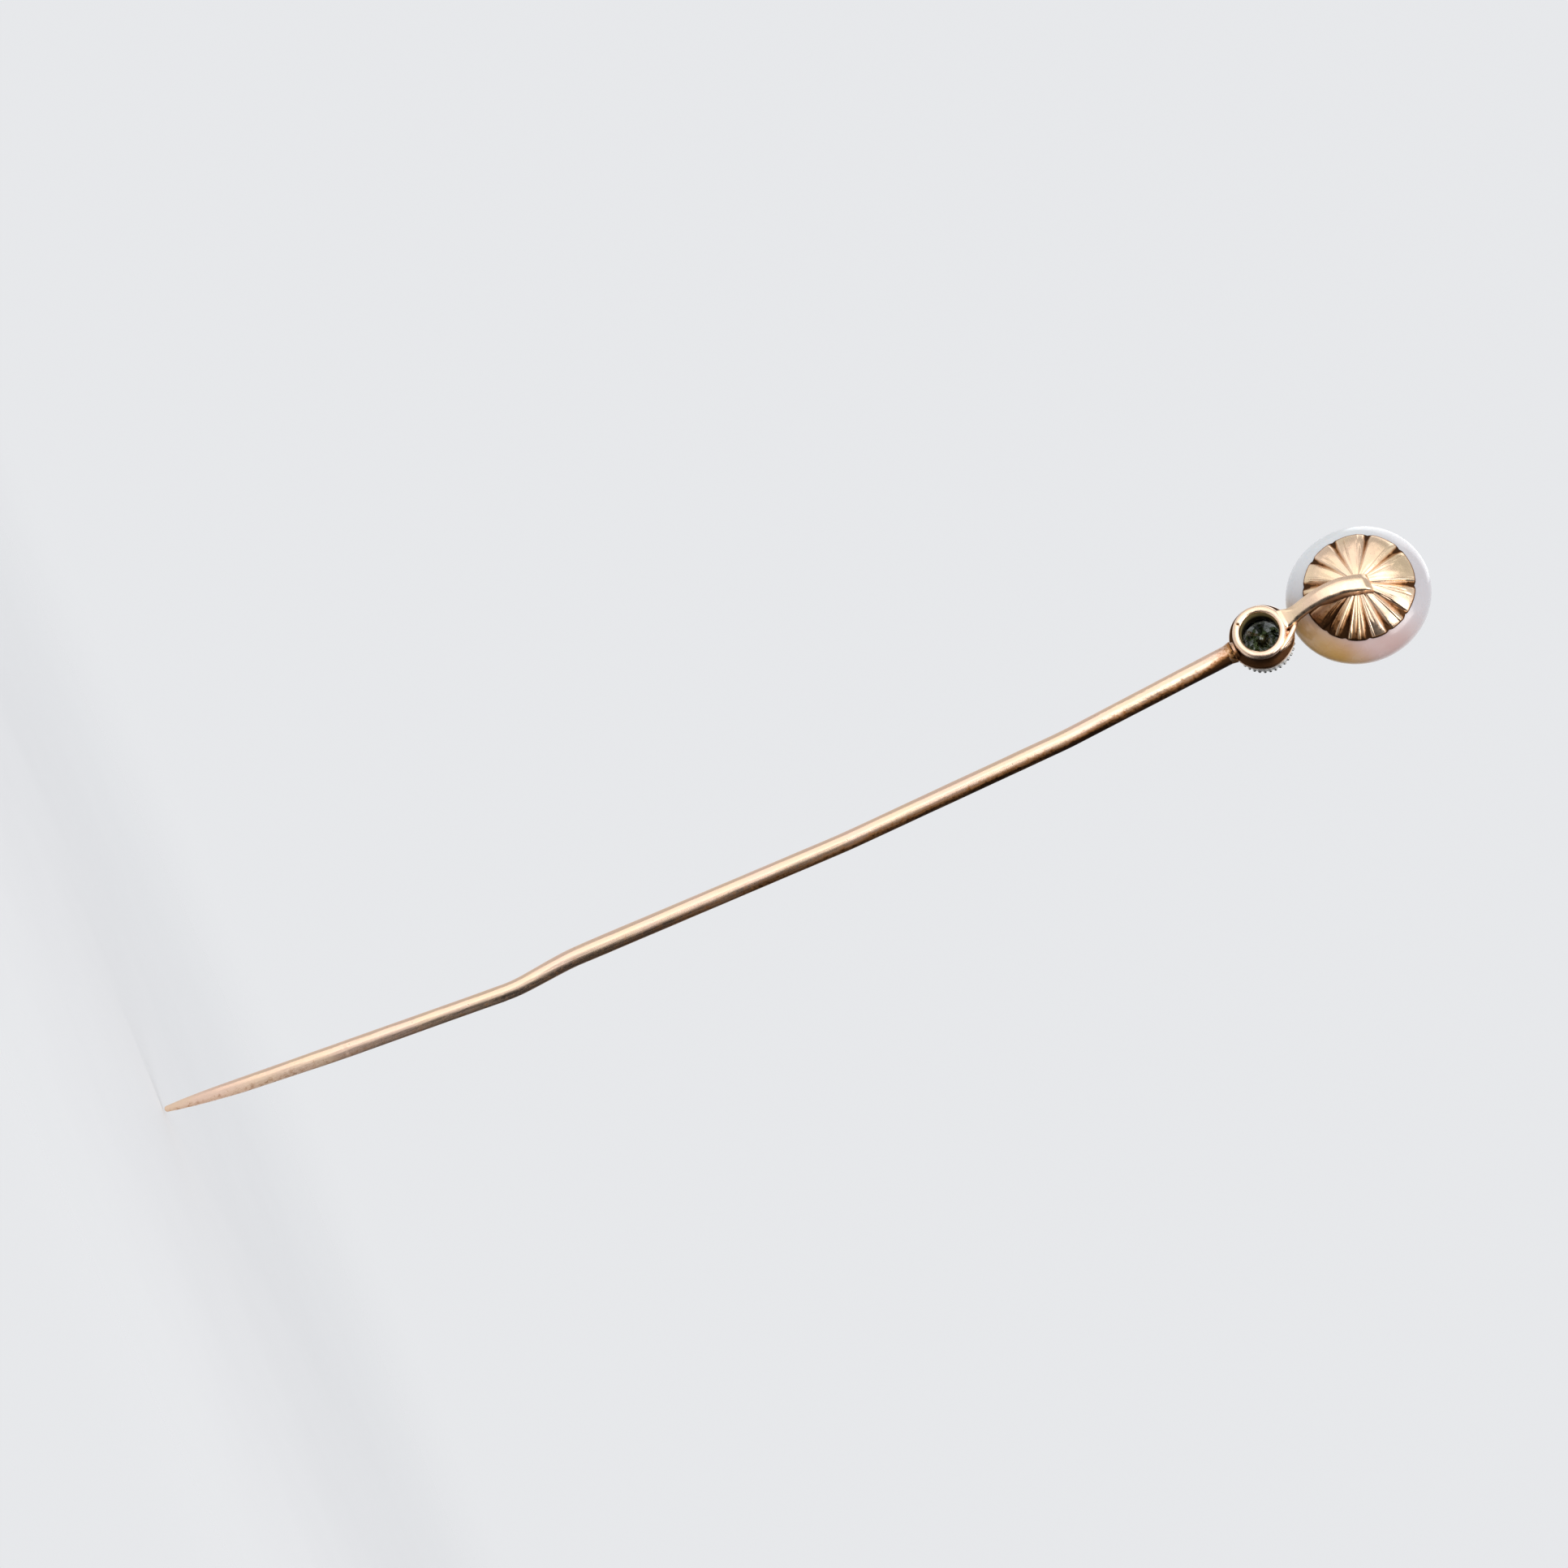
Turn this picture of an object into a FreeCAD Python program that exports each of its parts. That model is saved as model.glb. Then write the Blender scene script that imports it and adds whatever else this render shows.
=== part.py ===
import FreeCAD, Part
import Sketcher
import os

# A gold stick pin. A button pearl sits on a fluted cup, an arm joins the cup to a small
# open-backed collet with a diamond, and a bent wire stem runs down from the collet.
# +Z runs up the pin to the pearl, the pearl and the diamond face -Y, and the origin is
# on the straight grip of the stem, where a keeper slides on. Millimetres and degrees.

SIZES = {
    # stem: stretches named from the point to the collet, each with its length and its lean
    # from +Z towards +X
    "point_length": 3.3,
    "point_lean": -6.4,
    "taper_length": 4.7,
    "taper_lean": -5.1,
    "grip_tail": 0.4,
    "grip_length": 7.4,
    "grip_lead": 0.6,
    "grip_lean": -4.4,
    "jog_length": 2.7,
    "jog_lean": 5.3,
    "shank_low_length": 13.3,
    "shank_low_lean": -0.9,
    "shank_high_length": 10.8,
    "shank_high_lean": 1.1,
    "neck_length": 9.75,
    "neck_lean": 3.8,
    "tip_radius": 0.14,
    "point_radius": 0.335,
    "grip_radius": 0.385,
    "shank_radius": 0.425,
    "neck_radius": 0.46,
    # collet: a short tube on the Y axis through the top of the stem
    "collet_back": 1.1,
    "bore_radius": 0.85,
    "wall_thickness": 0.31,
    "lip_radius": 0.2,
    "lip_overhang": 0.06,
    "flange_radius": 1.47,
    "flange_thickness": 0.3,
    # white-metal bezel in front of the flange, with its grains
    "bezel_depth": 1.05,
    "bezel_radius": 1.36,
    "grain_radius": 0.085,
    "grain_count": 34,
    # diamond, seated in the bezel
    "diamond_radius": 1.1,
    "girdle_thickness": 0.05,
    "crown_height": 0.36,
    "pavilion_depth": 0.9,
    "table_radius": 0.55,
    "culet_radius": 0.08,
    "setting_clearance": 0.02,
    # pearl: half sizes along X and Z, and its bulge to the back and to the front
    "pearl_rise": 4.68,
    "pearl_shift": 0.36,
    "pearl_sink": 1.39,
    "pearl_half_width": 3.08,
    "pearl_half_height": 3.28,
    "pearl_back": 2.05,
    "pearl_front": 2.7,
    # fluted cup on the pearl's back
    "cement_film": 0.02,
    "cup_wall": 0.22,
    "cup_half_width": 2.41,
    "cup_half_height": 2.52,
    "cup_shift": -0.07,
    "cup_rise": 0.15,
    "flute_radius": 0.13,
    "flute_depth": 0.09,
    "notch_radius": 0.17,
    # arm from the collet to the cup
    "arm_reach": 5.36,
    "arm_bow": 0.3,
    "arm_root_width": 0.6,
    "arm_width": 0.87,
    "arm_thickness": 0.58,
    "arm_crest": 0.28,
    "arm_root_drop": 0.12,
    # peg and cement in the pearl
    "peg_radius": 0.4,
    "peg_depth": 2.2,
    "cement_thickness": 0.07,
    "drill_spare": 0.15,
    # solder
    "solder_thickness": 0.09,
    "solder_length": 0.42,
    "fillet_radius": 0.3,
}

# The stem's stretches above and below the origin, in the order met on the way.
HALF_GRIP = ("( grip_length / 2 )", "grip_lean")
UPWARD = (
    HALF_GRIP,
    ("grip_lead", "grip_lean"),
    ("jog_length", "jog_lean"),
    ("shank_low_length", "shank_low_lean"),
    ("shank_high_length", "shank_high_lean"),
    ("neck_length", "neck_lean"),
)
DOWNWARD = (
    HALF_GRIP,
    ("grip_tail", "grip_lean"),
    ("taper_length", "taper_lean"),
    ("point_length", "point_lean"),
)

Y_AXIS = FreeCAD.Vector(0, 1, 0)
# Where the hand-cut flutes lie on the cup, in degrees from +X towards +Z.
FLUTE_ANGLES = (-66, -36, -7, 32, 69, 112, 145, 169, 192, 218, 239, 269)
# The arm's centre line: share of its reach, of its sideways bow and of its rise to the crest.
ARM_LINE = (
    (0.18, 0.0, 0.0),
    (0.30, 0.3, 0.25),
    (0.42, 0.65, 0.6),
    (0.54, 0.9, 0.87),
    (0.66, 1.0, 1.0),
    (0.78, 0.85, 1.0),
    (0.89, 0.45, 0.88),
    (1.0, 0.0, 0.62),
)
# The pearl's long axis leans a little from +Z.
PEARL_TURN = FreeCAD.Rotation(Y_AXIS, -5)
# Turns a solid that was made upright on Z so that it points to the back, +Y, or to the front, -Y.
TO_BACK = FreeCAD.Rotation(FreeCAD.Vector(1, 0, 0), -90)
TO_FRONT = FreeCAD.Rotation(FreeCAD.Vector(1, 0, 0), 90)

doc = FreeCAD.newDocument("stick_pin")


def make_sheet():
    """Put every driving dimension in the document's spreadsheet under its own alias."""
    sheet = doc.addObject("Spreadsheet::Sheet", "dims")
    for row, (alias, value) in enumerate(SIZES.items(), start=1):
        sheet.set(f"A{row}", alias)
        sheet.set(f"B{row}", str(value))
        sheet.setAlias(f"B{row}", alias)
    doc.recompute()
    return sheet


dims = make_sheet()


def sized(expression):
    """Write dims. before every alias in an expression."""
    words = []
    for word in expression.split():
        words.append(f"dims.{word}" if word in SIZES else word)
    return " ".join(words)


def value(expression):
    """The present value of an expression of aliases."""
    return float(dims.evalExpression(sized(expression)))


def bind(item, **sizes):
    """Bind properties of an object to expressions of aliases."""
    for name, expression in sizes.items():
        item.setExpression(name, sized(expression))
    return item


def place(item, x="0", y="0", z="0", turn=None, angle=None):
    """Bind an object's place, and turn it by a fixed rotation or by a bound angle about Y."""
    if turn is not None:
        item.Placement = FreeCAD.Placement(FreeCAD.Vector(), turn)
    if angle is not None:
        item.Placement = FreeCAD.Placement(FreeCAD.Vector(), FreeCAD.Rotation(Y_AXIS, 1))
        item.setExpression("Placement.Rotation.Angle", sized(angle))
    item.setExpression("Placement.Base.x", sized(x))
    item.setExpression("Placement.Base.y", sized(y))
    item.setExpression("Placement.Base.z", sized(z))
    return item


def solid(kind, name, **sizes):
    """A Part primitive with bound sizes."""
    return bind(doc.addObject(f"Part::{kind}", name), **sizes)


def cut(name, base, tool):
    item = doc.addObject("Part::Cut", name)
    item.Base = base
    item.Tool = tool
    return item


def common(name, base, tool):
    item = doc.addObject("Part::Common", name)
    item.Base = base
    item.Tool = tool
    return item


def fuse(name, shapes):
    item = doc.addObject("Part::MultiFuse", name)
    item.Shapes = shapes
    return item


def walk(stretches, side):
    """Expressions for the x and z reached along stretches, upward (+) or downward (-)."""
    x = " ".join(f"{side} {length} * sin( {lean} * 1 deg )" for length, lean in stretches)
    z = " ".join(f"{side} {length} * cos( {lean} * 1 deg )" for length, lean in stretches)
    return f"0 {x}", f"0 {z}"


COLLET_X, COLLET_Z = walk(UPWARD, "+")
PEARL_X = f"{COLLET_X} + pearl_shift"
PEARL_Z = f"{COLLET_Z} + pearl_rise"
CUP_TOP = "( pearl_back - pearl_sink + cement_film + cup_wall )"


def outline(body, name, plane, corners):
    """A closed sketch of straight sides whose corners are bound to pairs of expressions."""
    sketch = body.newObject("Sketcher::SketchObject", name)
    origin_plane = [item for item in body.Origin.OriginFeatures if item.Role == plane][0]
    sketch.AttachmentSupport = [(origin_plane, "")]
    sketch.MapMode = "FlatFace"
    points = [FreeCAD.Vector(value(across), value(up), 0) for across, up in corners]
    for index, point in enumerate(points):
        sketch.addGeometry(Part.LineSegment(point, points[(index + 1) % len(points)]))
    for index, (across, up) in enumerate(corners):
        before = (index - 1) % len(corners)
        sketch.addConstraint(Sketcher.Constraint("Coincident", before, 2, index, 1))
        for kind, expression in (("DistanceX", across), ("DistanceY", up)):
            number = sketch.addConstraint(
                Sketcher.Constraint(kind, -1, 1, index, 1, value(expression)))
            sketch.setExpression(f"Constraints[{number}]", sized(expression))
    return sketch


def stem_circle(name, stretches, side, share, lean, radius):
    """A section of the wire, at a share of the last of the stretches walked."""
    done, (length, last_lean) = stretches[:-1], stretches[-1]
    x, z = walk(done, side)
    x = f"{x} {side} {share} * {length} * sin( {last_lean} * 1 deg )"
    z = f"{z} {side} {share} * {length} * cos( {last_lean} * 1 deg )"
    circle = solid("Circle", name, Radius=radius)
    return place(circle, x, "0", z, angle=lean)


def between(low, high, share):
    return f"( {low} * {1 - share:g} + {high} * {share:g} )"


def wire_loft(name, stretches, side, stations):
    """A length of wire lofted through round sections."""
    sections = []
    for walked, share, lean, radius in stations:
        section = f"{name}_section_{len(sections)}"
        sections.append(stem_circle(section, stretches[:walked], side, share, lean, radius))
    wire = doc.addObject("Part::Loft", name)
    wire.Sections = sections
    wire.Solid = True
    return wire


def make_stem(head_core):
    """A straight round grip, the tapered point below it and the bent shank above, to the collet."""
    # Each station: stretches walked, share of the last one, lean, radius.
    below = [
        (1, 1.0, "grip_lean", "grip_radius"),
        (2, 1.0, between("grip_lean", "taper_lean", 0.5), between("grip_radius", "point_radius", 0.04)),
        (3, 0.4, "taper_lean", between("grip_radius", "point_radius", 0.35)),
        (3, 0.75, "taper_lean", between("grip_radius", "point_radius", 0.7)),
        (4, 0.2, "point_lean", between("point_radius", "tip_radius", 0.07)),
        (4, 0.5, "point_lean", between("point_radius", "tip_radius", 0.33)),
        (4, 0.78, "point_lean", between("point_radius", "tip_radius", 0.69)),
        (4, 1.0, "point_lean", "tip_radius"),
    ]
    collet_share = "( 1 - ( bore_radius + wall_thickness * 0.7 ) / neck_length )"
    above = [
        (1, 1.0, "grip_lean", "grip_radius"),
        (2, 1.0, between("grip_lean", "jog_lean", 0.5), between("grip_radius", "shank_radius", 0.1)),
        (3, 0.35, "jog_lean", between("grip_radius", "shank_radius", 0.15)),
        (3, 0.65, "jog_lean", between("grip_radius", "shank_radius", 0.2)),
        (3, 1.0, between("jog_lean", "shank_low_lean", 0.5), between("grip_radius", "shank_radius", 0.25)),
        (4, 0.1, "shank_low_lean", between("grip_radius", "shank_radius", 0.3)),
        (4, 0.4, "shank_low_lean", between("grip_radius", "shank_radius", 0.6)),
        (4, 0.7, "shank_low_lean", between("grip_radius", "shank_radius", 0.8)),
        (4, 1.0, between("shank_low_lean", "shank_high_lean", 0.5), "shank_radius"),
        (5, 0.4, "shank_high_lean", between("shank_radius", "neck_radius", 0.5)),
        (5, 0.8, "shank_high_lean", between("shank_radius", "neck_radius", 0.9)),
        (6, 0.05, between("shank_high_lean", "neck_lean", 0.7), "neck_radius"),
        (6, 0.25, "neck_lean", "neck_radius"),
        (6, 0.6, "neck_lean", "neck_radius"),
        (6, collet_share, "neck_lean", "neck_radius"),
    ]
    grip = solid("Cylinder", "stem_grip", Radius="grip_radius", Height="grip_length")
    grip_x, grip_z = walk([HALF_GRIP], "-")
    place(grip, grip_x, "0", grip_z, angle="grip_lean")
    tip_x, tip_z = walk(DOWNWARD, "-")
    tip = place(solid("Sphere", "stem_tip", Radius="tip_radius"), tip_x, "0", tip_z)
    point = wire_loft("stem_point", DOWNWARD, "-", below)
    shank = wire_loft("stem_shank", UPWARD, "+", above)
    return cut("stem", fuse("stem_whole", [grip, point, tip, shank]), head_core)


def make_collet():
    """A tube with a round lip at the back and a round flange at the front, open through."""
    wall_radius = "( bore_radius + wall_thickness )"
    lip_ring = f"( {wall_radius} + lip_overhang - lip_radius )"
    front = "( flange_thickness / 2 )"
    wall = solid("Cylinder", "collet_wall", Radius=wall_radius,
                 Height=f"collet_back - lip_radius + {front}")
    place(wall, COLLET_X, f"0 - {front}", COLLET_Z, turn=TO_BACK)
    lip = solid("Torus", "collet_lip", Radius1=lip_ring, Radius2="lip_radius")
    place(lip, COLLET_X, "collet_back - lip_radius", COLLET_Z, turn=TO_BACK)
    flange = solid("Torus", "collet_flange", Radius1=f"flange_radius - {front}", Radius2=front)
    place(flange, COLLET_X, "0", COLLET_Z, turn=TO_BACK)
    web = solid("Cylinder", "collet_web", Radius=f"flange_radius - {front}", Height="flange_thickness")
    place(web, COLLET_X, f"0 - {front}", COLLET_Z, turn=TO_BACK)
    bore = solid("Cylinder", "collet_bore", Radius="bore_radius", Height="2 * collet_back")
    place(bore, COLLET_X, "0 - collet_back", COLLET_Z, turn=TO_BACK)
    return cut("collet", fuse("collet_blank", [wall, lip, web, flange]), bore)


GIRDLE_Y = "( bezel_depth - grain_radius )"
BEZEL_Y = "( flange_thickness / 2 )"


def make_bezel():
    """The front ring: a turned wall with a cone seat for the stone, and grains on its edge."""
    body = doc.addObject("PartDesign::Body", "bezel_ring")
    seat = "( diamond_radius + setting_clearance )"
    slope = "( pavilion_depth / ( diamond_radius - culet_radius ) )"
    seat_top = f"0 - {GIRDLE_Y} + girdle_thickness + crown_height"
    corners = [
        ("bore_radius", f"0 - {BEZEL_Y}"),
        ("bezel_radius", f"0 - {BEZEL_Y}"),
        ("bezel_radius", "0 - bezel_depth"),
        (seat, "0 - bezel_depth"),
        (seat, seat_top),
        ("bore_radius", f"{seat_top} + ( {seat} - bore_radius ) * {slope}"),
    ]
    ring = body.newObject("PartDesign::Revolution", "bezel_turned")
    ring.Profile = outline(body, "bezel_profile", "XY_Plane", corners)
    ring.ReferenceAxis = (ring.Profile[0], ["V_Axis"])
    ring.Angle = 360
    place(body, COLLET_X, "0", COLLET_Z)
    grains = []
    count = int(value("grain_count"))
    for index in range(count):
        angle = f"( {index} * 360 / {count} * 1 deg )"
        ring_radius = f"( ( bezel_radius + {seat} ) / 2 )"
        grain = solid("Sphere", f"grain_{index}", Radius="grain_radius")
        place(grain, f"{COLLET_X} + {ring_radius} * cos( {angle} )", "0 - bezel_depth",
              f"{COLLET_Z} + {ring_radius} * sin( {angle} )")
        grains.append(grain)
    return fuse("bezel", [body] + grains)


def make_diamond():
    """An eight-sided stone: culet, girdle and table joined by flat facets."""
    back = f"0 - {GIRDLE_Y} + girdle_thickness + crown_height"
    levels = [
        ("culet", "culet_radius", f"{back} + pavilion_depth"),
        ("girdle_back", "diamond_radius", back),
        ("girdle_front", "diamond_radius", f"{back} - girdle_thickness"),
        ("table", "table_radius", f"{back} - girdle_thickness - crown_height"),
    ]
    polygons = []
    for name, radius, depth in levels:
        polygon = solid("RegularPolygon", f"diamond_{name}", Circumradius=radius)
        polygon.Polygon = 8
        polygons.append(place(polygon, COLLET_X, depth, COLLET_Z, turn=TO_BACK))
    stone = doc.addObject("Part::Loft", "diamond")
    stone.Sections = polygons
    stone.Solid = True
    stone.Ruled = True
    return stone


def pearl_half(name, bulge, grown, turn):
    """Half an egg shape of the pearl's own outline, grown by an allowance, about the pearl's axis."""
    half = solid("Ellipsoid", name, Radius1=f"{bulge} + {grown}",
                 Radius2=f"pearl_half_width + {grown}", Radius3=f"pearl_half_height + {grown}")
    half.Angle1 = 0
    half.Angle2 = 90
    return place(half, "0", "0 - pearl_sink", "0", turn=PEARL_TURN.multiply(turn))


def seat_on_pearl_axis(item):
    """Move a finished piece, made about the Y axis, to the pearl's place above the collet."""
    return place(item, PEARL_X, "0", PEARL_Z)


def make_pearl():
    """The button pearl, flatter at the back, drilled half way for the peg."""
    back = pearl_half("pearl_back_half", "pearl_back", "0", TO_BACK)
    front = pearl_half("pearl_front_half", "pearl_front", "0", TO_FRONT)
    drill = solid("Cylinder", "pearl_drill", Radius="peg_radius + cement_thickness",
                  Height="2 * ( peg_depth + drill_spare )")
    place(drill, "0", "pearl_back - pearl_sink - peg_depth - drill_spare", "0", turn=TO_BACK)
    return seat_on_pearl_axis(cut("pearl", fuse("pearl_whole", [back, front]), drill))


def make_cup():
    """A thin shell on the pearl's back, with flutes pressed in from its middle to its rim."""
    grown = "( cement_film + cup_wall )"
    outside = pearl_half("cup_outside", "pearl_back", grown, TO_BACK)
    inside = pearl_half("cup_inside", "pearl_back", "cement_film", TO_BACK)
    rim = solid("Ellipse", "cup_rim", MajorRadius="cup_half_height", MinorRadius="cup_half_width")
    upright = FreeCAD.Rotation(FreeCAD.Vector(0, 0, 1), -90)
    place(rim, "cup_shift", "0 - pearl_sink", "cup_rise", turn=TO_BACK.multiply(upright))
    trim = solid("Extrusion", "cup_trim", LengthFwd="2 * pearl_back")
    trim.Base = rim
    trim.Dir = Y_AXIS
    trim.Solid = True
    shell = common("cup_shell", cut("cup_bowl", outside, inside), trim)
    fluted = shell
    notches = []
    for index, angle in enumerate(FLUTE_ANGLES):
        cosine = f"cos( {angle} * 1 deg )"
        sine = f"sin( {angle} * 1 deg )"
        rim_reach = (f"( ( cup_half_width * {cosine} + cup_shift ) * {cosine} "
                     f"+ ( cup_half_height * {sine} + cup_rise ) * {sine} )")
        reach = f"( {grown} + pearl_half_width * {cosine} ^ 2 + pearl_half_height * {sine} ^ 2 )"
        drop = f"( ( pearl_back + {grown} ) * ( 1 - sqrt( 1 - ( {rim_reach} / {reach} ) ^ 2 ) ) )"
        # A quarter ring through the cup's middle and its rim, so that the flute's depth stays even.
        bend = f"( ( {rim_reach} ^ 2 + {drop} ^ 2 ) / ( 2 * {drop} ) )"
        flute = solid("Torus", f"flute_{index}", Radius1=f"{bend} + flute_radius - flute_depth",
                      Radius2="flute_radius")
        flute.Angle3 = 90
        place(flute, "0", f"{CUP_TOP} - {bend}", "0", turn=FreeCAD.Rotation(Y_AXIS, -angle))
        notch = solid("Cylinder", f"notch_{index}", Radius="notch_radius", Height="2 * pearl_back")
        place(notch, f"{rim_reach} * {cosine}", "0 - pearl_sink", f"{rim_reach} * {sine}", turn=TO_BACK)
        fluted = cut(f"cup_fluted_{index}", fluted, flute)
        notches.append(notch)
    return seat_on_pearl_axis(cut("cup", fluted, fuse("cup_notches", notches))), shell


def pad(name, plane, corners, thickness):
    """A straight-sided plate, padded both ways from its plane."""
    body = doc.addObject("PartDesign::Body", name)
    feature = body.newObject("PartDesign::Pad", f"{name}_pad")
    feature.Profile = outline(body, f"{name}_outline", plane, corners)
    feature.Midplane = True
    bind(feature, Length=thickness)
    return place(body, COLLET_X, "0", COLLET_Z)


def make_arm(head_core):
    """A square bar that leaves the collet's side, arches up and is lapped on the cup's middle."""
    end_top = f"( {CUP_TOP} + arm_thickness )"
    root_top = "( collet_back - arm_root_drop )"
    root = "( bore_radius + wall_thickness * 0.3 )"
    crest = f"( {end_top} + arm_crest )"
    top = []
    for share, _, rise in ARM_LINE:
        top.append((f"{root_top} + {rise} * ( {crest} - {root_top} )", f"{share} * arm_reach"))
    top[0] = (root_top, root)
    top[-1] = (end_top, "arm_reach")
    under = [(f"{CUP_TOP} - cup_wall", "arm_reach"), (f"{CUP_TOP} - cup_wall", "0.72 * arm_reach")]
    under += [(f"{height} - arm_thickness", place_up) for height, place_up in reversed(top[:4])]
    side = pad("arm_side", "YZ_Plane", top + under, "4 * arm_width")
    left, right = [], []
    for share, bow, _ in ARM_LINE:
        half = f"( arm_root_width + {share} * ( arm_width - arm_root_width ) ) / 2"
        place_up = f"{share} * arm_reach"
        left.append((f"{bow} * arm_bow - {half}", place_up))
        right.append((f"{bow} * arm_bow + {half}", place_up))
    plan = pad("arm_plan", "XZ_Plane", left + right[::-1], f"4 * {crest}")
    bar = common("arm_bar", side, plan)
    cup_face = pearl_half("arm_cup_face", "pearl_back", "( cement_film + cup_wall )", TO_BACK)
    place(cup_face, PEARL_X, "0 - pearl_sink", PEARL_Z)
    return cut("arm", cut("arm_saddle", bar, head_core), cup_face)


def make_peg_and_cement(cup_shell):
    """The peg soldered in the cup, and the cement that fills the pearl's hole round it."""
    seat = f"( {CUP_TOP} - cup_wall )"
    peg = solid("Cylinder", "peg_wire", Radius="peg_radius", Height="peg_depth")
    place(peg, "0", f"{seat} - peg_depth", "0", turn=TO_BACK)
    plug = solid("Cylinder", "cement_plug", Radius="peg_radius + cement_thickness",
                 Height="peg_depth + drill_spare")
    place(plug, "0", f"{seat} - peg_depth - drill_spare", "0", turn=TO_BACK)
    sleeve = cut("cement_sleeve", plug, peg)
    pieces = [cut("pearl_peg", peg, cup_shell), cut("peg_cement", sleeve, cup_shell)]
    return [seat_on_pearl_axis(piece) for piece in pieces]


def make_stem_solder(stem, head_core):
    """A bead of solder round the end of the wire, against the collet's flange."""
    away = "( flange_radius - solder_thickness )"
    bead = solid("Ellipsoid", "stem_bead", Radius1="solder_length",
                 Radius2="neck_radius + solder_thickness", Radius3="neck_radius + solder_thickness")
    place(bead, f"{COLLET_X} - {away} * sin( neck_lean * 1 deg )", "0",
          f"{COLLET_Z} - {away} * cos( neck_lean * 1 deg )", angle="neck_lean")
    return cut("stem_solder", cut("stem_bead_fitted", bead, stem), head_core)


def make_arm_solder(arm, head_core):
    """A fillet of solder that runs from under the arm's root round the collet's wall."""
    wall_radius = "( bore_radius + wall_thickness )"
    bead = solid("Torus", "arm_bead", Radius1=wall_radius, Radius2="fillet_radius")
    bead.Angle3 = 105
    # The bead starts on the collet's -X side and ends just past the arm.
    start = FreeCAD.Rotation(FreeCAD.Vector(0, 0, 1), 200)
    place(bead, COLLET_X, "( collet_back - lip_radius ) / 2", COLLET_Z, turn=TO_BACK.multiply(start))
    return cut("arm_solder", cut("arm_bead_fitted", bead, head_core), arm)


def build():
    """Make every sub-part and give back the finished ones."""
    collet = make_collet()
    bezel = make_bezel()
    diamond = make_diamond()
    head_core = fuse("head_core", [collet, bezel])
    stem = make_stem(head_core)
    cup, cup_shell = make_cup()
    arm = make_arm(head_core)
    peg, cement = make_peg_and_cement(cup_shell)
    return [stem, make_stem_solder(stem, head_core), collet, bezel, diamond, arm,
            make_arm_solder(arm, head_core), cup, make_pearl(), peg, cement]


def check(parts):
    """Stop with the names of objects that failed and of sub-parts that are not sound solids."""
    faults = [item.Name for item in doc.Objects if "Invalid" in item.State or "Error" in item.State]
    for item in parts:
        shape = item.Shape
        if shape.isNull() or not shape.isValid() or not shape.Solids:
            faults.append(item.Label)
    if faults:
        raise RuntimeError("not sound: " + ", ".join(faults))


parts = build()
doc.recompute()
check(parts)
os.makedirs("parts", exist_ok=True)
for part in parts:
    part.Shape.exportStep(f"parts/{part.Label}.step")
    print(f"{part.Label}: {len(part.Shape.Solids)} solid, {part.Shape.Volume:.4f} mm3")
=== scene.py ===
import math

import bmesh
import bpy
import numpy as np
from mathutils import Matrix, Vector


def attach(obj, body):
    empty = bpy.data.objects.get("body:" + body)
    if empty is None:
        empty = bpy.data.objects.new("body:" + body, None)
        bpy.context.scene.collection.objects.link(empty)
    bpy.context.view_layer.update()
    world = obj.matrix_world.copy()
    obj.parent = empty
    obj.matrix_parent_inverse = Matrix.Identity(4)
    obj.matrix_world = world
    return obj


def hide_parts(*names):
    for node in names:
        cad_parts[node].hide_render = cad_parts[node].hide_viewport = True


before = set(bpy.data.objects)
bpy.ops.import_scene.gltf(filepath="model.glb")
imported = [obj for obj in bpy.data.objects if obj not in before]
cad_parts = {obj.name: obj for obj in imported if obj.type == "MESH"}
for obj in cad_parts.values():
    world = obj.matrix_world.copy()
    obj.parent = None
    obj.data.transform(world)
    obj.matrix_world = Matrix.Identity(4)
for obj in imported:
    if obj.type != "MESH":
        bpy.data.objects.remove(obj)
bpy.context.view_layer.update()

# A gold stick pin: bent wire stem, open collet with a diamond, arm, fluted cup and button pearl.
# Shapes are worked out in millimetres in the CAD frame and scaled to metres when a mesh is made.
MM = 0.001


# ---------------------------------------------------------------- small helpers

def smooth_line(where, stations, values):
    """A smooth curve through values at stations, read at every place in where."""
    stations = np.asarray(stations, float)
    values = np.asarray(values, float)
    slopes = np.gradient(values, stations)
    index = np.clip(np.searchsorted(stations, where) - 1, 0, len(stations) - 2)
    width = stations[index + 1] - stations[index]
    share = np.clip((where - stations[index]) / width, 0, 1)
    start, end = values[index], values[index + 1]
    leave, arrive = slopes[index] * width, slopes[index + 1] * width
    return ((2 * share ** 3 - 3 * share ** 2 + 1) * start + (share ** 3 - 2 * share ** 2 + share) * leave
            + (3 * share ** 2 - 2 * share ** 3) * end + (share ** 3 - share ** 2) * arrive)


def ripple(where, seed, waves=6):
    """A gentle hand-made unevenness between about -1 and 1, the same on every run."""
    draw = np.random.default_rng(seed)
    total = np.zeros_like(np.asarray(where, float))
    for _ in range(waves):
        total += np.sin(where * draw.uniform(0.4, 3.0) + draw.uniform(0, 2 * math.pi))
    return total / waves


def bump_at(distance, width):
    """A soft hump of height 1 at distance 0."""
    return np.exp(-(distance / width) ** 2)


def off_angle(degrees, middle):
    """How far an angle lies from another, between -180 and 180 degrees."""
    return (degrees - middle + 180) % 360 - 180


def turned(xz, degrees):
    """Turn x and z about the Y axis, from +Z towards +X."""
    angle = math.radians(degrees)
    x, z = xz
    return x * math.cos(angle) + z * math.sin(angle), z * math.cos(angle) - x * math.sin(angle)


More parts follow.
